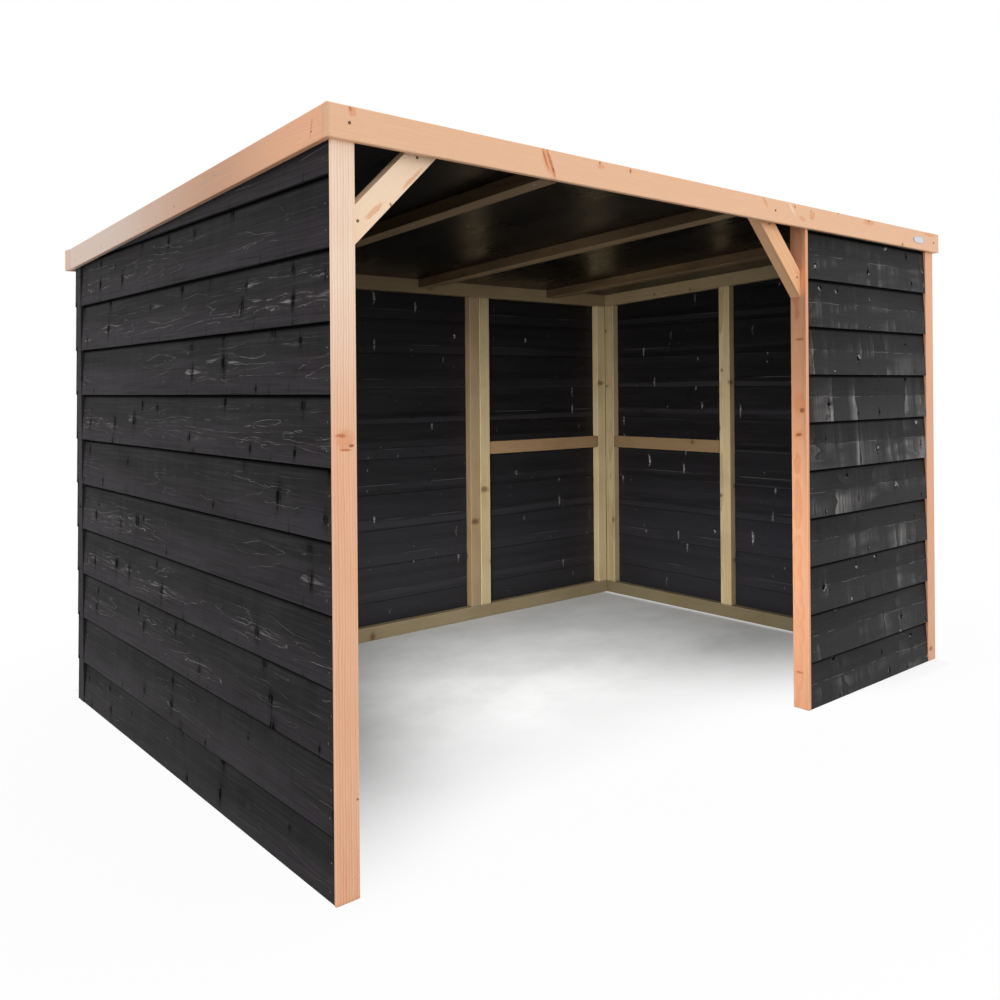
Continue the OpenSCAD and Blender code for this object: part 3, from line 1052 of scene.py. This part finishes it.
def marks_of(node):
    """A timber's own marks: kind, centre, half sizes and lean."""
    found = []
    if node == "front_fascia":
        found += [(kind, (along, -19, height), (half_length, 60, half_height), lean)
                  for kind, along, height, half_length, half_height, lean in FASCIA_MARKS]
    for fascia, x in (("left_fascia", -19), ("right_fascia", 3157)):
        if node == fascia:
            found += [("screw", (x, y, z), (30, 4, 4), 0.0) for y, z in SIDE_SCREWS]
    if node == "back_fascia":
        found += [("screw", (x, 2126, 1790), (4, 30, 4), 0.0) for x in BACK_SCREWS]
    found += TIMBER_MARKS.get(node, ())
    corner = Vector((PLAN_X, PLAN_Y, 0))
    return [(kind, corner + Vector(place) * MM, Vector(half_size) * MM, lean)
            for kind, place, half_size, lean in found]


# ---------------------------------------------------------------- boards

# for each wall: the cladding it replaces, where its left end stands seen from outside,
# how far it turns from facing the front, and its length
WALLS = {
    "left": ("left_cladding", (LEFT_HIGH.x, LEFT_HIGH.y - 2 * END_PLAY), -QUARTER,
             LEFT_HIGH.y - LEFT_LOW.y - 3 * END_PLAY),
    "right": ("right_cladding", (RIGHT_LOW.x, RIGHT_LOW.y + END_PLAY), QUARTER,
              RIGHT_HIGH.y - RIGHT_LOW.y - 3 * END_PLAY),
    "back": ("back_cladding", (BACK_HIGH.x, BACK_LOW.y), 2 * QUARTER,
             BACK_HIGH.x - BACK_LOW.x),
    "panel": ("front_panel_cladding", (PANEL_LOW.x + END_PLAY, PANEL_HIGH.y), 0.0,
              PANEL_HIGH.x - PANEL_LOW.x - 2 * END_PLAY),
}
# how dry each board is, from the ground up, and on the front panel how strong its painted sheen is;
# the other walls' boards take what comes
DRYNESS_AND_SHEEN = {
    "left": (0.1, 0.3, 0.5, 0.9, 0.7, 0.4, 0.65, 0.9, 1.0, 0.45, 0.4),
    "panel": (0.2, 0.25, 0.35, 0.6, 0.45, 1.0, 0.95, 0.55, 0.4, 0.35, 0.3),
}
# the uprights behind each wall, from its front or its left end
STUDS = {
    "left": ("left_front_stud", "left_middle_stud", "left_rear_stud"),
    "right": ("right_front_stud", "right_middle_stud", "right_rear_stud"),
    "back": ("back_left_end_stud", "back_bay_stud", "back_pair_left_stud",
             "back_pair_right_stud", "back_right_end_stud"),
    "panel": ("front_panel_stud",),
}
# how far each board covers the one below it, and the play in its rebate
LAP = 15.5 * MM
LAP_PLAY = 1.3 * MM
# the groove along a board's inner face: its height above the lower edge, and its depth
GROOVE_RISE = 66 * MM
GROOVE = 1.2 * MM
# how much is taken off a board's edges
ARRIS = 0.9 * MM
# length of the parts that a board bends in
SEGMENT = 45 * MM
# how near to a line counts as on it
CLOSE = 0.01 * MM
# what the boards keep clear of the ground and of one another
BOARD_PLAY = 0.3 * MM
# a course that would show less than this is left out
LEAST_COURSE = 6 * MM


def board_sizes(wall, settings):
    """Width of a wall's boards, their thickness below, and the heights of their lower edges."""
    panel = "panel_" if wall == "panel" else ""
    width, first, pitch = (getattr(settings, panel + name)
                           for name in ("width", "first_lap", "pitch"))
    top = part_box(WALLS[wall][0])[1].z
    low, lows = first - pitch, []
    while low < top - LEAST_COURSE:
        lows.append(low)
        low += pitch
    return width, CLADDING - settings.warp - CLEAR, lows


def outer_face(rise, width, foot, head):
    """How far a board's outer face stands from its inner face, at a height above its edge."""
    return foot - (foot - head) * rise / width


def feather_board(name, length, width, foot, head):
    """One board in its own frame: X its length, -Y outwards, Z its width, with a rebate below."""
    board = start_block(name, (0, -foot, 0), (length, 0, width))
    shoulder = LAP + LAP_PLAY
    cheek = outer_face(width - LAP, width, foot, head) + BOARD_PLAY
    open_piece(board)
    # taper
    pick(board, "edges", lambda m, e: runs_along(e, 0) and m.y < -foot / 2 and m.z > width / 2)
    bpy.ops.transform.translate(value=(0, foot - head, 0))
    # rebate that takes the next board's thin edge
    pick(board, "faces", lambda m, f: True)
    cut((0, 0, shoulder), (0, 0, 1))
    pick(board, "faces", lambda m, f: m.z < shoulder)
    cut((0, -cheek, 0), (0, 1, 0))
    pick(board, "faces", lambda m, f: m.z < shoulder - CLOSE and m.y > -cheek + CLOSE)
    bpy.ops.mesh.delete(type="FACE")
    pick(board, "verts", lambda m, v: abs(m.z - shoulder) < CLOSE and m.y > -cheek - CLOSE)
    bpy.ops.mesh.edge_face_add()
    pick(board, "verts", lambda m, v: m.z < shoulder + CLOSE and abs(m.y + cheek) < CLOSE)
    bpy.ops.mesh.edge_face_add()
    # shallow groove along the inner face
    for step in (-1, 0, 1):
        pick(board, "faces", lambda m, f: m.z > shoulder)
        cut((0, 0, GROOVE_RISE + step * GROOVE), (0, 0, 1))
    pick(board, "edges", lambda m, e: runs_along(e, 0) and abs(m.z - GROOVE_RISE) < CLOSE
         and m.y > -foot / 4)
    bpy.ops.transform.translate(value=(0, -GROOVE, 0))
    # eased edges
    pick(board, "edges", lambda m, e: runs_along(e, 0) and e.calc_face_angle(0.0) > SHARP)
    bpy.ops.mesh.bevel(offset=ARRIS, segments=1, affect="EDGES")
    # cross cuts, so that the board can bow
    pick(board, "edges", lambda m, e: runs_along(e, 0))
    bpy.ops.mesh.subdivide(number_cuts=max(2, round(length / SEGMENT)))
    return close_piece(board)


def carry_grain(board, low, turn, anchor, shift, tone):
    """Writes where each point lies along, across and into the board, and the board's tone."""
    back = Matrix.Rotation(-turn, 3, "Z")
    inner_face = (back @ anchor).y
    grain = board.data.attributes.new("grain", "FLOAT_VECTOR", "POINT")
    values = []
    for vertex in board.data.vertices:
        along, depth, height = back @ vertex.co
        values += [along + shift, height - low, depth - inner_face]
    grain.data.foreach_set("vector", values)
    shades = board.data.attributes.new("tone", "FLOAT", "POINT")
    shades.data.foreach_set("value", [tone] * len(board.data.vertices))


def bow(board, settings):
    """Bows a board a little out of true, by one soft cloud pattern for the whole shelter."""
    pattern = bpy.data.textures.get("board_warp")
    if not pattern:
        pattern = bpy.data.textures.new("board_warp", "CLOUDS")
        pattern.noise_scale = 0.55
        pattern.noise_depth = 1
    for direction, mid_level, strength in (("Y", 0.0, -1.0), ("Z", 0.5, 2.2)):
        apply_modifier(board, "DISPLACE", texture=pattern, texture_coords="GLOBAL",
                       direction=direction, mid_level=mid_level, strength=strength * settings.warp)


def finish(name, make, *given):
    """The material of that name, made at its first use."""
    return bpy.data.materials.get(name) or make(name, *given)


def clad(wall, settings):
    """Covers one wall with boards."""
    node, corner, turn, length = WALLS[wall]
    width, foot, lows = board_sizes(wall, settings)
    turned = Matrix.Rotation(turn, 3, "Z")
    pattern = feather_board(f"{wall}_pattern", length, width, foot, settings.head)
    stain = planed_outside if wall == "panel" else stained_outside
    outside = finish(stain.__name__ + "_boards", stain, settings)
    inside = finish("boards_inside", stained_inside, settings)
    chance = random.Random(wall)
    for number, low in enumerate(lows, 1):
        board = copy_of(pattern, f"{wall}_board_{number:02d}")
        board.location = (*corner, low)
        board.rotation_euler = (0, 0, turn)
        bpy.context.view_layer.update()
        bow(board, settings)
        settle(board)
        open_piece(board)
        pick(board, "faces", lambda m, f: True)
        if low < 0:
            cut((0, 0, BOARD_PLAY), (0, 0, -1), remove=True)
        if low + width > under_deck(BACK_LOW.y) - 2 * MM:
            pick(board, "faces", lambda m, f: True)
            if wall == "panel":
                cut((0, 0, PANEL_HIGH.z), (0, 0, 1), remove=True)
            else:
                level = BACK_LOW.y if wall == "back" else LEFT_LOW.y
                cut((0, level, under_deck(level)), ROOF_NORMAL, remove=True)
        close_piece(board)
        shift, tone = chance.uniform(3, 90), chance.random()
        if wall in DRYNESS_AND_SHEEN:
            tone = DRYNESS_AND_SHEEN[wall][number - 1]
        carry_grain(board, low, turn, Vector((*corner, 0)), shift, tone)
        smooth(board)
        dress(board, outside, inside)
        inward = turned @ Vector((0, 1, 0))
        for face in board.data.polygons:
            face.material_index = int(face.normal.dot(inward) > 0.6)
        fit(board, "black_boards", node)
    discard(pattern)


# ---------------------------------------------------------------- fixings

# heights of the two nails above a board's lower edge, and how far their heads stand out
NAIL_RISES = (38 * MM, 112 * MM)
NAIL_PROUD = 0.3 * MM


def nail_pattern(settings):
    """A flat nail head on a short shank, facing -Y."""
    head, dome, shank = 1.2 * MM, 0.35 * MM, 3 * MM
    nail = start_disc("nail_pattern", (0, 0, 0), settings.nail_radius, head, 10, (QUARTER, 0, 0))
    open_piece(nail)
    pick(nail, "faces", lambda m, f: m.y < -head / 3)
    bpy.ops.mesh.inset(thickness=0.7 * MM)
    bpy.ops.transform.translate(value=(0, -dome, 0))
    pick(nail, "faces", lambda m, f: m.y > head / 3)
    bpy.ops.mesh.inset(thickness=1.2 * MM)
    bpy.ops.mesh.extrude_region_move(TRANSFORM_OT_translate={"value": (0, shank, 0)})
    return close_piece(nail)


def screw_pattern(settings):
    """A countersunk screw head with a six-sided drive, facing -Y."""
    radius, head = settings.screw_radius, 1.4 * MM
    dome, drive_depth, taper = 0.15 * MM, 1.1 * MM, 0.55
    screw = start_disc("screw_pattern", (0, 0, 0), radius, head, 18, (QUARTER, 0, 0))
    open_piece(screw)
    pick(screw, "faces", lambda m, f: m.y < -head / 3)
    bpy.ops.mesh.inset(thickness=0.35 * MM)
    bpy.ops.transform.translate(value=(0, -dome, 0))
    bpy.ops.mesh.inset(thickness=radius / 2)
    bpy.ops.mesh.extrude_region_move(TRANSFORM_OT_translate={"value": (0, drive_depth, 0)})
    pick(screw, "faces", lambda m, f: m.y > head / 3)
    bpy.ops.transform.resize(value=(taper, 1.0, taper))
    return close_piece(screw)


def set_out(pattern, name, places):
    """Copies a fixing to each place, each with its turn, and joins them into one piece."""
    copies = []
    for number, (place, turn) in enumerate(places):
        made = copy_of(pattern, f"{name}_{number:03d}")
        made.data.transform(Matrix.Translation(place) @ Euler(turn).to_matrix().to_4x4())
        copies.append(made)
    joined = gather(copies, name)
    smooth(joined, 30)
    return joined


def nail_places(wall, settings):
    """Where a wall's nails sit: two to a board at each upright behind it."""
    _, corner, turn, length = WALLS[wall]
    width, foot, lows = board_sizes(wall, settings)
    lean = math.atan((foot - settings.head) / width)
    turned = Matrix.Rotation(turn, 3, "Z")
    anchor = Vector((*corner, 0))
    # the first stud of a side wall stands beside the front post, which takes the nails there
    uprights = STUDS[wall][1:] if wall in ("left", "right") else STUDS[wall]
    columns = [(turned.inverted() @ (middle_of(upright) - anchor)).x for upright in uprights]
    columns += {"left": [length - 22 * MM], "right": [22 * MM], "panel": [24 * MM],
                "back": [length - 12 * MM, 12 * MM]}[wall]
    chance = random.Random(wall + " nails")
    places = []
    for low in lows:
        for rise in NAIL_RISES:
            for column in columns:
                at = rise + chance.uniform(-5, 5) * MM
                x = column + chance.uniform(-5, 5) * MM
                y = -outer_face(at, width, foot, settings.head) - NAIL_PROUD
                spot = anchor + turned @ Vector((x, y, low + at))
                top = PANEL_HIGH.z if wall == "panel" else under_deck(spot.y)
                if 8 * MM <= spot.z <= top - 12 * MM:
                    places.append((spot, (lean, 0, turn)))
    return places


def screw_places():
    """Where the frame's screws sit: in the rafters, the studs, the braces and the fascia."""
    ahead = (0, 0, 0)
    height = middle_of("front_fascia").z
    fascia = [((PLAN_X + x * MM, FASCIA_LOW.y - CLEAR, height), ahead) for x in (42, 1852, 3109)]
    frame_timbers = []
    for node in ("left_rafter", "middle_rafter", "right_rafter"):
        low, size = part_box(node)[0], size_of(node)
        for share in (0.03, 0.365, 0.97):
            y = low.y + share * size.y
            under = under_deck(y) - (size.z - ROOF_SLOPE * size.y)
            frame_timbers.append(((low.x + 22 * MM, y, under - CLEAR),
                                  (QUARTER - math.atan(ROOF_SLOPE), 0, 0)))
    for wall, facing, below in (("back", 0, 26), ("left", 1, 30), ("right", -1, 30)):
        for node in STUDS[wall]:
            low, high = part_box(node)
            centre, half = (low + high) / 2, (high - low) / 2 + Vector((CLEAR, CLEAR, 0))
            x = centre.x + facing * half.x
            y = centre.y if facing else centre.y - half.y
            for z in (low.z + 26 * MM, high.z - below * MM):
                frame_timbers.append(((x, y, z), (0, 0, facing * QUARTER)))
    braces = []
    for node, side in (("left_brace", 1), ("right_brace", -1)):
        low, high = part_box(node)
        post = low.x if side > 0 else high.x
        for x, z in ((22, 212), (205, 26)):
            braces.append(((post + side * x * MM, low.y - CLEAR, high.z - z * MM), ahead))
    return {"fascia": fascia, "frame": frame_timbers, "brace": braces}


# ---------------------------------------------------------------- stage

# where the camera stands and how it is held, in plan measures
CAMERA_X, CAMERA_Y, CAMERA_Z = -1151.8 * MM, -1984.4 * MM, 1250.6 * MM
CAMERA_YAW = math.radians(49.7)
CAMERA_ROLL = math.radians(-0.45)
CAMERA_SHIFT = -0.1108
FLOOR_RADIUS = 14


def lay_floor(settings):
    """A wide pale floor, lit by itself where it is seen, and quite white far out."""
    clear_selection()
    bpy.ops.mesh.primitive_circle_add(vertices=96, radius=FLOOR_RADIUS, fill_type="NGON",
                                      calc_uvs=False)
    floor = name_piece(bpy.context.active_object, "stage_floor")
    material = bpy.data.materials.new("stage_floor")
    w = Wiring(empty_tree(material))
    place, path = w.place(), w.wires("ShaderNodeLightPath")
    seen = w.larger(path["Is Camera Ray"],
                    w.larger(path["Is Glossy Ray"], path["Is Transmission Ray"]))
    concrete = Vector(settings.floor)
    trowel = w.remap(w.noise(place, (1.7, 2.3, 2.0), 6.0, 0.65), 0.3, 0.7)
    grit = w.remap(w.noise(place, (90.0, 90.0, 90.0), 2.0), 0.66, 0.74)
    colour = w.blend(trowel, full(concrete * 0.93), full(concrete))
    colour = w.blend(seen * w.linear(trowel, 0.16, 0.1), colour, full(WHITE))
    colour = w.blend(grit * 0.25, colour, full(concrete * 0.6))
    matt = w.wire("ShaderNodeBsdfDiffuse", {"Color": colour})
    glow = w.wire("ShaderNodeEmission", {"Color": full(WHITE), "Strength": 1.0})
    # inside, the floor turns white towards the open front; outside it is nearly white by
    # the walls and quite white further out
    x, y, _ = w.split(place)
    depth = y + (w.remap(x, 0.2, 1.3, 0.0, 0.32) + w.remap(x, -0.8, -1.5, 0.0, 0.2))
    inside = w.remap(depth, 0.06, -0.98, 0.0, 0.98)
    wall = LEFT_LOW.x
    beyond = w.larger(w.remap(abs(x), -wall - 0.13, -wall),
                      w.remap(abs(y), -PLAN_Y - 0.05, -PLAN_Y + 0.1))
    far_out = w.remap(w.length(w.vectors("MULTIPLY", place, (0.72, 1.0, 0.0))), 1.3, 2.6,
                      settings.floor_glow, 1.0)
    share = w.larger(inside, beyond * far_out)
    mixed = w.wire("ShaderNodeMixShader", {0: seen * share, 1: matt, 2: glow})
    w.node("ShaderNodeOutputMaterial", {0: mixed})
    dress(floor, material)


def hang_lamps(settings):
    """Large soft lamps at the left and in front, and one under the roof."""
    inside = Vector((LEFT_HIGH.x + 250 * MM, POST_HIGH.y + 230 * MM, 1.15))
    # name, place, what it points at, width and height, watts
    for name, place, aim, size, power in (
            ("left_lamp", (-4.6, 2.5, 2.6), (0, 0, 0.9), (4.0, 3.0), settings.key),
            ("front_lamp", (0.6, -5.6, 2.6), (0, 0, 0.9), (5.0, 3.0), settings.fill),
            ("inside_lamp", inside, (1.5, 0.6, 0.05), (0.5, 0.9), settings.inner)):
        lamp = bpy.data.lights.new(name, "AREA")
        lamp.shape = "RECTANGLE"
        lamp.size, lamp.size_y = size
        lamp.energy = power
        lamp.spread = math.radians(84 if name == "inside_lamp" else 180)
        holder = bpy.data.objects.new(name, lamp)
        bpy.context.scene.collection.objects.link(holder)
        holder.visible_camera = holder.visible_glossy = False
        holder.location = place
        holder.rotation_mode = "QUATERNION"
        holder.rotation_quaternion = (Vector(aim) - Vector(place)).to_track_quat("-Z", "Y")


def set_sky(scene, settings):
    """White surroundings that light the shelter evenly."""
    world = bpy.data.worlds.new("studio_white")
    w = Wiring(empty_tree(world))
    path = w.wires("ShaderNodeLightPath")
    seen = w.larger(path["Is Camera Ray"], path["Is Transmission Ray"])
    level = w.linear(seen, 1.0 - settings.sky, settings.sky)
    back = w.wire("ShaderNodeBackground", {"Color": full(WHITE), "Strength": level})
    w.node("ShaderNodeOutputWorld", {0: back})
    scene.world = world


def place_camera(scene, settings):
    """The camera at head height, left of the front."""
    eye = bpy.data.objects.new("camera", bpy.data.cameras.new("camera"))
    scene.collection.objects.link(eye)
    ahead = Vector((math.cos(CAMERA_YAW), math.sin(CAMERA_YAW), 0))
    right = Vector((math.sin(CAMERA_YAW), -math.cos(CAMERA_YAW), 0))
    up = Vector((0, 0, 1))
    side = right * math.cos(CAMERA_ROLL) + up * math.sin(CAMERA_ROLL)
    top = up * math.cos(CAMERA_ROLL) - right * math.sin(CAMERA_ROLL)
    turn = Matrix((side, top, -ahead)).transposed()
    eye.matrix_world = Matrix.Translation(
        (PLAN_X + CAMERA_X, PLAN_Y + CAMERA_Y, CAMERA_Z)) @ turn.to_4x4()
    eye.data.sensor_width = 36.0
    eye.data.lens = settings.lens
    eye.data.shift_y = CAMERA_SHIFT
    eye.data.clip_end = 60.0
    scene.camera = eye


# ---------------------------------------------------------------- operators

class SHELTER_OT_left_boards(bpy.types.Operator):
    """Clad the left wall with feather-edge boards"""
    bl_idname = "shelter.left_boards"
    bl_label = "Left wall boards"

    def execute(self, context):
        clad("left", context.scene.shelter_boards)
        return {"FINISHED"}


class SHELTER_OT_right_boards(bpy.types.Operator):
    """Clad the right wall with feather-edge boards"""
    bl_idname = "shelter.right_boards"
    bl_label = "Right wall boards"

    def execute(self, context):
        clad("right", context.scene.shelter_boards)
        return {"FINISHED"}


class SHELTER_OT_back_boards(bpy.types.Operator):
    """Clad the back wall with feather-edge boards"""
    bl_idname = "shelter.back_boards"
    bl_label = "Back wall boards"

    def execute(self, context):
        clad("back", context.scene.shelter_boards)
        return {"FINISHED"}


class SHELTER_OT_panel_boards(bpy.types.Operator):
    """Clad the closed panel at the right of the front"""
    bl_idname = "shelter.panel_boards"
    bl_label = "Front panel boards"

    def execute(self, context):
        clad("panel", context.scene.shelter_boards)
        return {"FINISHED"}


class SHELTER_OT_corner_battens(bpy.types.Operator):
    """Stain the battens that close the back corners"""
    bl_idname = "shelter.corner_battens"
    bl_label = "Corner battens"

    def execute(self, context):
        for node in BATTENS:
            dress(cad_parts[node], stained_outside(
                f"{node}_stain", context.scene.shelter_boards,
                lambda w, node=node: timber_grain(w, node)))
        return {"FINISHED"}


class SHELTER_OT_board_nails(bpy.types.Operator):
    """Nail the boards to the posts and studs behind them"""
    bl_idname = "shelter.board_nails"
    bl_label = "Board nails"

    def execute(self, context):
        settings = context.scene.shelter_boards
        pattern = nail_pattern(settings)
        metal = metal_finish("nail_heads", shade(120, 120, 124), shade(44, 43, 45), 0.35)
        for wall in WALLS:
            nails = set_out(pattern, f"{wall}_nails", nail_places(wall, settings))
            dress(nails, metal)
            fit(nails, "black_boards")
        discard(pattern)
        return {"FINISHED"}


class SHELTER_OT_larch_timbers(bpy.types.Operator):
    """Give the posts, braces and fascias their planed larch"""
    bl_idname = "shelter.larch_timbers"
    bl_label = "Larch posts, braces and fascias"

    def execute(self, context):
        settings = context.scene.shelter_timber
        # the left front post's painted light at its top, and the left fascia's tones along its depth
        tone_ramps_by_node = {
            "front_left_post": [(settings.larch_bleached, "z", 1.0, 1.55)],
            "left_fascia": [(settings.larch_shaded, "y", -1.0, -0.35),
                            (settings.larch_greyed, "y", -0.5, 0.6)],
        }
        for node, (light, dark, *way) in LARCH.items():
            light, dark = shade(*light), shade(*dark)
            contrast, figure = FIGURES["fascia" if "fascia" in node else "post"]
            dress(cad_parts[node], planed_timber(
                f"{node}_larch", node, light, dark, settings.larch_knot,
                Vector(light) * 0.93 + Vector(dark) * 0.05, contrast, figure, *way,
                bleach=tone_ramps_by_node.get(node, ())))
        return {"FINISHED"}


class SHELTER_OT_pine_frame(bpy.types.Operator):
    """Give the studs, plates, rails and rafters their impregnated pine"""
    bl_idname = "shelter.pine_frame"
    bl_label = "Pine frame"

    def execute(self, context):
        settings = context.scene.shelter_timber
        light, dark = Vector(settings.pine_light), Vector(settings.pine_dark)
        others = {wall[0] for wall in WALLS.values()} | {*LARCH, *BATTENS, "roof_deck", "name_plate"}
        contrast, figure = FIGURES["pine"]
        for node in sorted(set(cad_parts) - others):
            # the lightness holds painted light and shade as well as the timber's own tone
            tone, red = PINE_TONES_AND_SHADE.get(node, (0.7, 0.0))
            cast = Vector((tone * (1 + red), tone * (1 - red / 2), tone * (1 - red)))
            dress(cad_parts[node], planed_timber(
                f"{node}_pine", node, light * cast, dark * cast, settings.pine_knot,
                (light * 0.8 + dark * 0.25) * cast, contrast, figure, rough=0.66, grimy=0.3))
        return {"FINISHED"}


class SHELTER_OT_screws(bpy.types.Operator):
    """Put in the screws of the frame, the braces and the front fascia"""
    bl_idname = "shelter.screws"
    bl_label = "Frame and fascia screws"

    def execute(self, context):
        pattern = screw_pattern(context.scene.shelter_timber)
        places = screw_places()
        dark = metal_finish("fascia_screws_coat", shade(84, 60, 44), shade(40, 28, 22), 0.5)
        bright = metal_finish("frame_screws_zinc", shade(215, 214, 208), shade(140, 136, 126), 0.3)
        for name, metal, slot in (("fascia", dark, "larch"), ("frame", bright, "frame_pine"),
                                  ("brace", dark, "larch")):
            screws = set_out(pattern, f"{name}_screws", places[name])
            dress(screws, metal)
            fit(screws, slot)
        discard(pattern)
        return {"FINISHED"}


class SHELTER_OT_roof_deck(bpy.types.Operator):
    """Face the roof deck's underside with dark film"""
    bl_idname = "shelter.roof_deck"
    bl_label = "Roof deck"

    def execute(self, context):
        dress(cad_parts["roof_deck"], film_finish("deck_film", context.scene.shelter_roof))
        return {"FINISHED"}


class SHELTER_OT_roof_felt(bpy.types.Operator):
    """Cover the deck with lapped strips of felt"""
    bl_idname = "shelter.roof_felt"
    bl_label = "Roof felt"

    def execute(self, context):
        settings = context.scene.shelter_roof
        material = felt_finish("mineral_felt", settings)
        run = (DECK_HIGH.y - DECK_LOW.y) / settings.sheets
        thick = settings.felt_thickness
        # the felt ends this far inside the deck's edges
        edge = 4 * MM
        for number in range(settings.sheets):
            # the first strip lies at the eave, and each one above laps over it
            back = DECK_HIGH.y - number * run - edge * (number == 0)
            front = max(DECK_LOW.y + edge, back - run - settings.overlap)
            strip = start_block(f"felt_strip_{number + 1}", (DECK_LOW.x + edge, front, 0),
                                (DECK_HIGH.x - edge, back, thick))
            open_piece(strip)
            for axis, cuts in ((1, 6), (0, 24)):
                pick(strip, "edges", lambda m, e, axis=axis: runs_along(e, axis))
                bpy.ops.mesh.subdivide(number_cuts=cuts)
            close_piece(strip)
            for vertex in strip.data.vertices:
                # the end that lies on the strip below rides up over it
                over = max(0.0, 1 - abs(vertex.co.y - back) / (settings.overlap * 1.2))
                lift = thick * over * (number > 0)
                vertex.co.z += deck_top(vertex.co.y) + lift + CLEAR
            apply_modifier(strip, "BEVEL", width=0.5 * MM, segments=2, limit_method="ANGLE")
            smooth(strip)
            dress(strip, material)
            fit(strip, "roof_deck")
        return {"FINISHED"}


class SHELTER_OT_name_plate(bpy.types.Operator):
    """Make the blank oval plate with its rim and its two small screws"""
    bl_idname = "shelter.name_plate"
    bl_label = "Blank oval plate"

    def execute(self, context):
        settings = context.scene.shelter_roof
        centre, size = middle_of("name_plate"), size_of("name_plate")
        face = centre.y - size.y / 2
        near_face = face + 0.1 * MM
        recess, pin_inset = 0.45 * MM, 8 * MM
        plate = start_disc("oval_plate", centre, size.z / 2, size.y, 64, (QUARTER, 0, 0))
        open_piece(plate)
        bpy.ops.mesh.select_all(action="SELECT")
        bpy.ops.transform.resize(value=(size.x / size.z, 1, 1), center_override=centre)
        pick(plate, "faces", lambda m, f: m.y < near_face)
        for rim in (0.5, 1.3, 0.4):
            bpy.ops.mesh.inset(thickness=rim * MM)
        bpy.ops.transform.translate(value=(0, recess, 0))
        pick(plate, "edges", lambda m, e: m.y < near_face and e.calc_face_angle(0.0) > SHARP)
        bpy.ops.mesh.bevel(offset=0.3 * MM, segments=2, affect="EDGES")
        close_piece(plate)
        smooth(plate)
        dress(plate, plate_finish("brushed_plate", settings))
        fit(plate, "name_plate", "name_plate")
        pattern = screw_pattern(context.scene.shelter_timber)
        pattern.data.transform(Matrix.Diagonal((0.6, 0.42, 0.6, 1)))
        aside = size.x / 2 - pin_inset
        pins = set_out(pattern, "plate_screws", [
            ((centre.x + x, face + 0.62 * MM, centre.z), (0, 0, 0)) for x in (-aside, aside)])
        dress(pins, metal_finish("dark_screws", shade(70, 66, 62), shade(30, 26, 24), 0.45))
        fit(pins, "name_plate")
        discard(pattern)
        return {"FINISHED"}


class SHELTER_OT_stage(bpy.types.Operator):
    """Set up the floor, the soft lamps and the camera"""
    bl_idname = "shelter.stage"
    bl_label = "Stage"

    def execute(self, context):
        settings = context.scene.shelter_stage
        lay_floor(settings)
        hang_lamps(settings)
        set_sky(context.scene, settings)
        place_camera(context.scene, settings)
        context.scene.view_settings.view_transform = "Standard"
        return {"FINISHED"}


# ---------------------------------------------------------------- panel and start

STEPS = (
    SHELTER_OT_left_boards, SHELTER_OT_right_boards, SHELTER_OT_back_boards,
    SHELTER_OT_panel_boards, SHELTER_OT_corner_battens, SHELTER_OT_board_nails,
    SHELTER_OT_larch_timbers, SHELTER_OT_pine_frame, SHELTER_OT_screws,
    SHELTER_OT_roof_deck, SHELTER_OT_roof_felt, SHELTER_OT_name_plate, SHELTER_OT_stage,
)


class SHELTER_PT_workbench(bpy.types.Panel):
    """Lists the steps that finish the shelter"""
    bl_idname = "SHELTER_PT_workbench"
    bl_label = "Field Shelter"
    bl_space_type = "VIEW_3D"
    bl_region_type = "UI"
    bl_category = "Shelter"

    def draw(self, context):
        for step in STEPS:
            self.layout.operator(step.bl_idname)


GROUPS = {"shelter_boards": BoardSettings, "shelter_timber": TimberSettings,
          "shelter_roof": RoofSettings, "shelter_stage": StageSettings}


def register():
    for name, group in GROUPS.items():
        bpy.utils.register_class(group)
        setattr(bpy.types.Scene, name, PointerProperty(type=group))
    for step in STEPS + (SHELTER_PT_workbench,):
        bpy.utils.register_class(step)


def unregister():
    for step in reversed(STEPS + (SHELTER_PT_workbench,)):
        bpy.utils.unregister_class(step)
    for name, group in GROUPS.items():
        delattr(bpy.types.Scene, name)
        bpy.utils.unregister_class(group)


def main():
    register()
    bpy.ops.shelter.left_boards()
    bpy.ops.shelter.right_boards()
    bpy.ops.shelter.back_boards()
    bpy.ops.shelter.panel_boards()
    bpy.ops.shelter.corner_battens()
    bpy.ops.shelter.board_nails()
    bpy.ops.shelter.larch_timbers()
    bpy.ops.shelter.pine_frame()
    bpy.ops.shelter.screws()
    bpy.ops.shelter.roof_deck()
    bpy.ops.shelter.roof_felt()
    bpy.ops.shelter.name_plate()
    bpy.ops.shelter.stage()


if __name__ == "__main__":
    main()
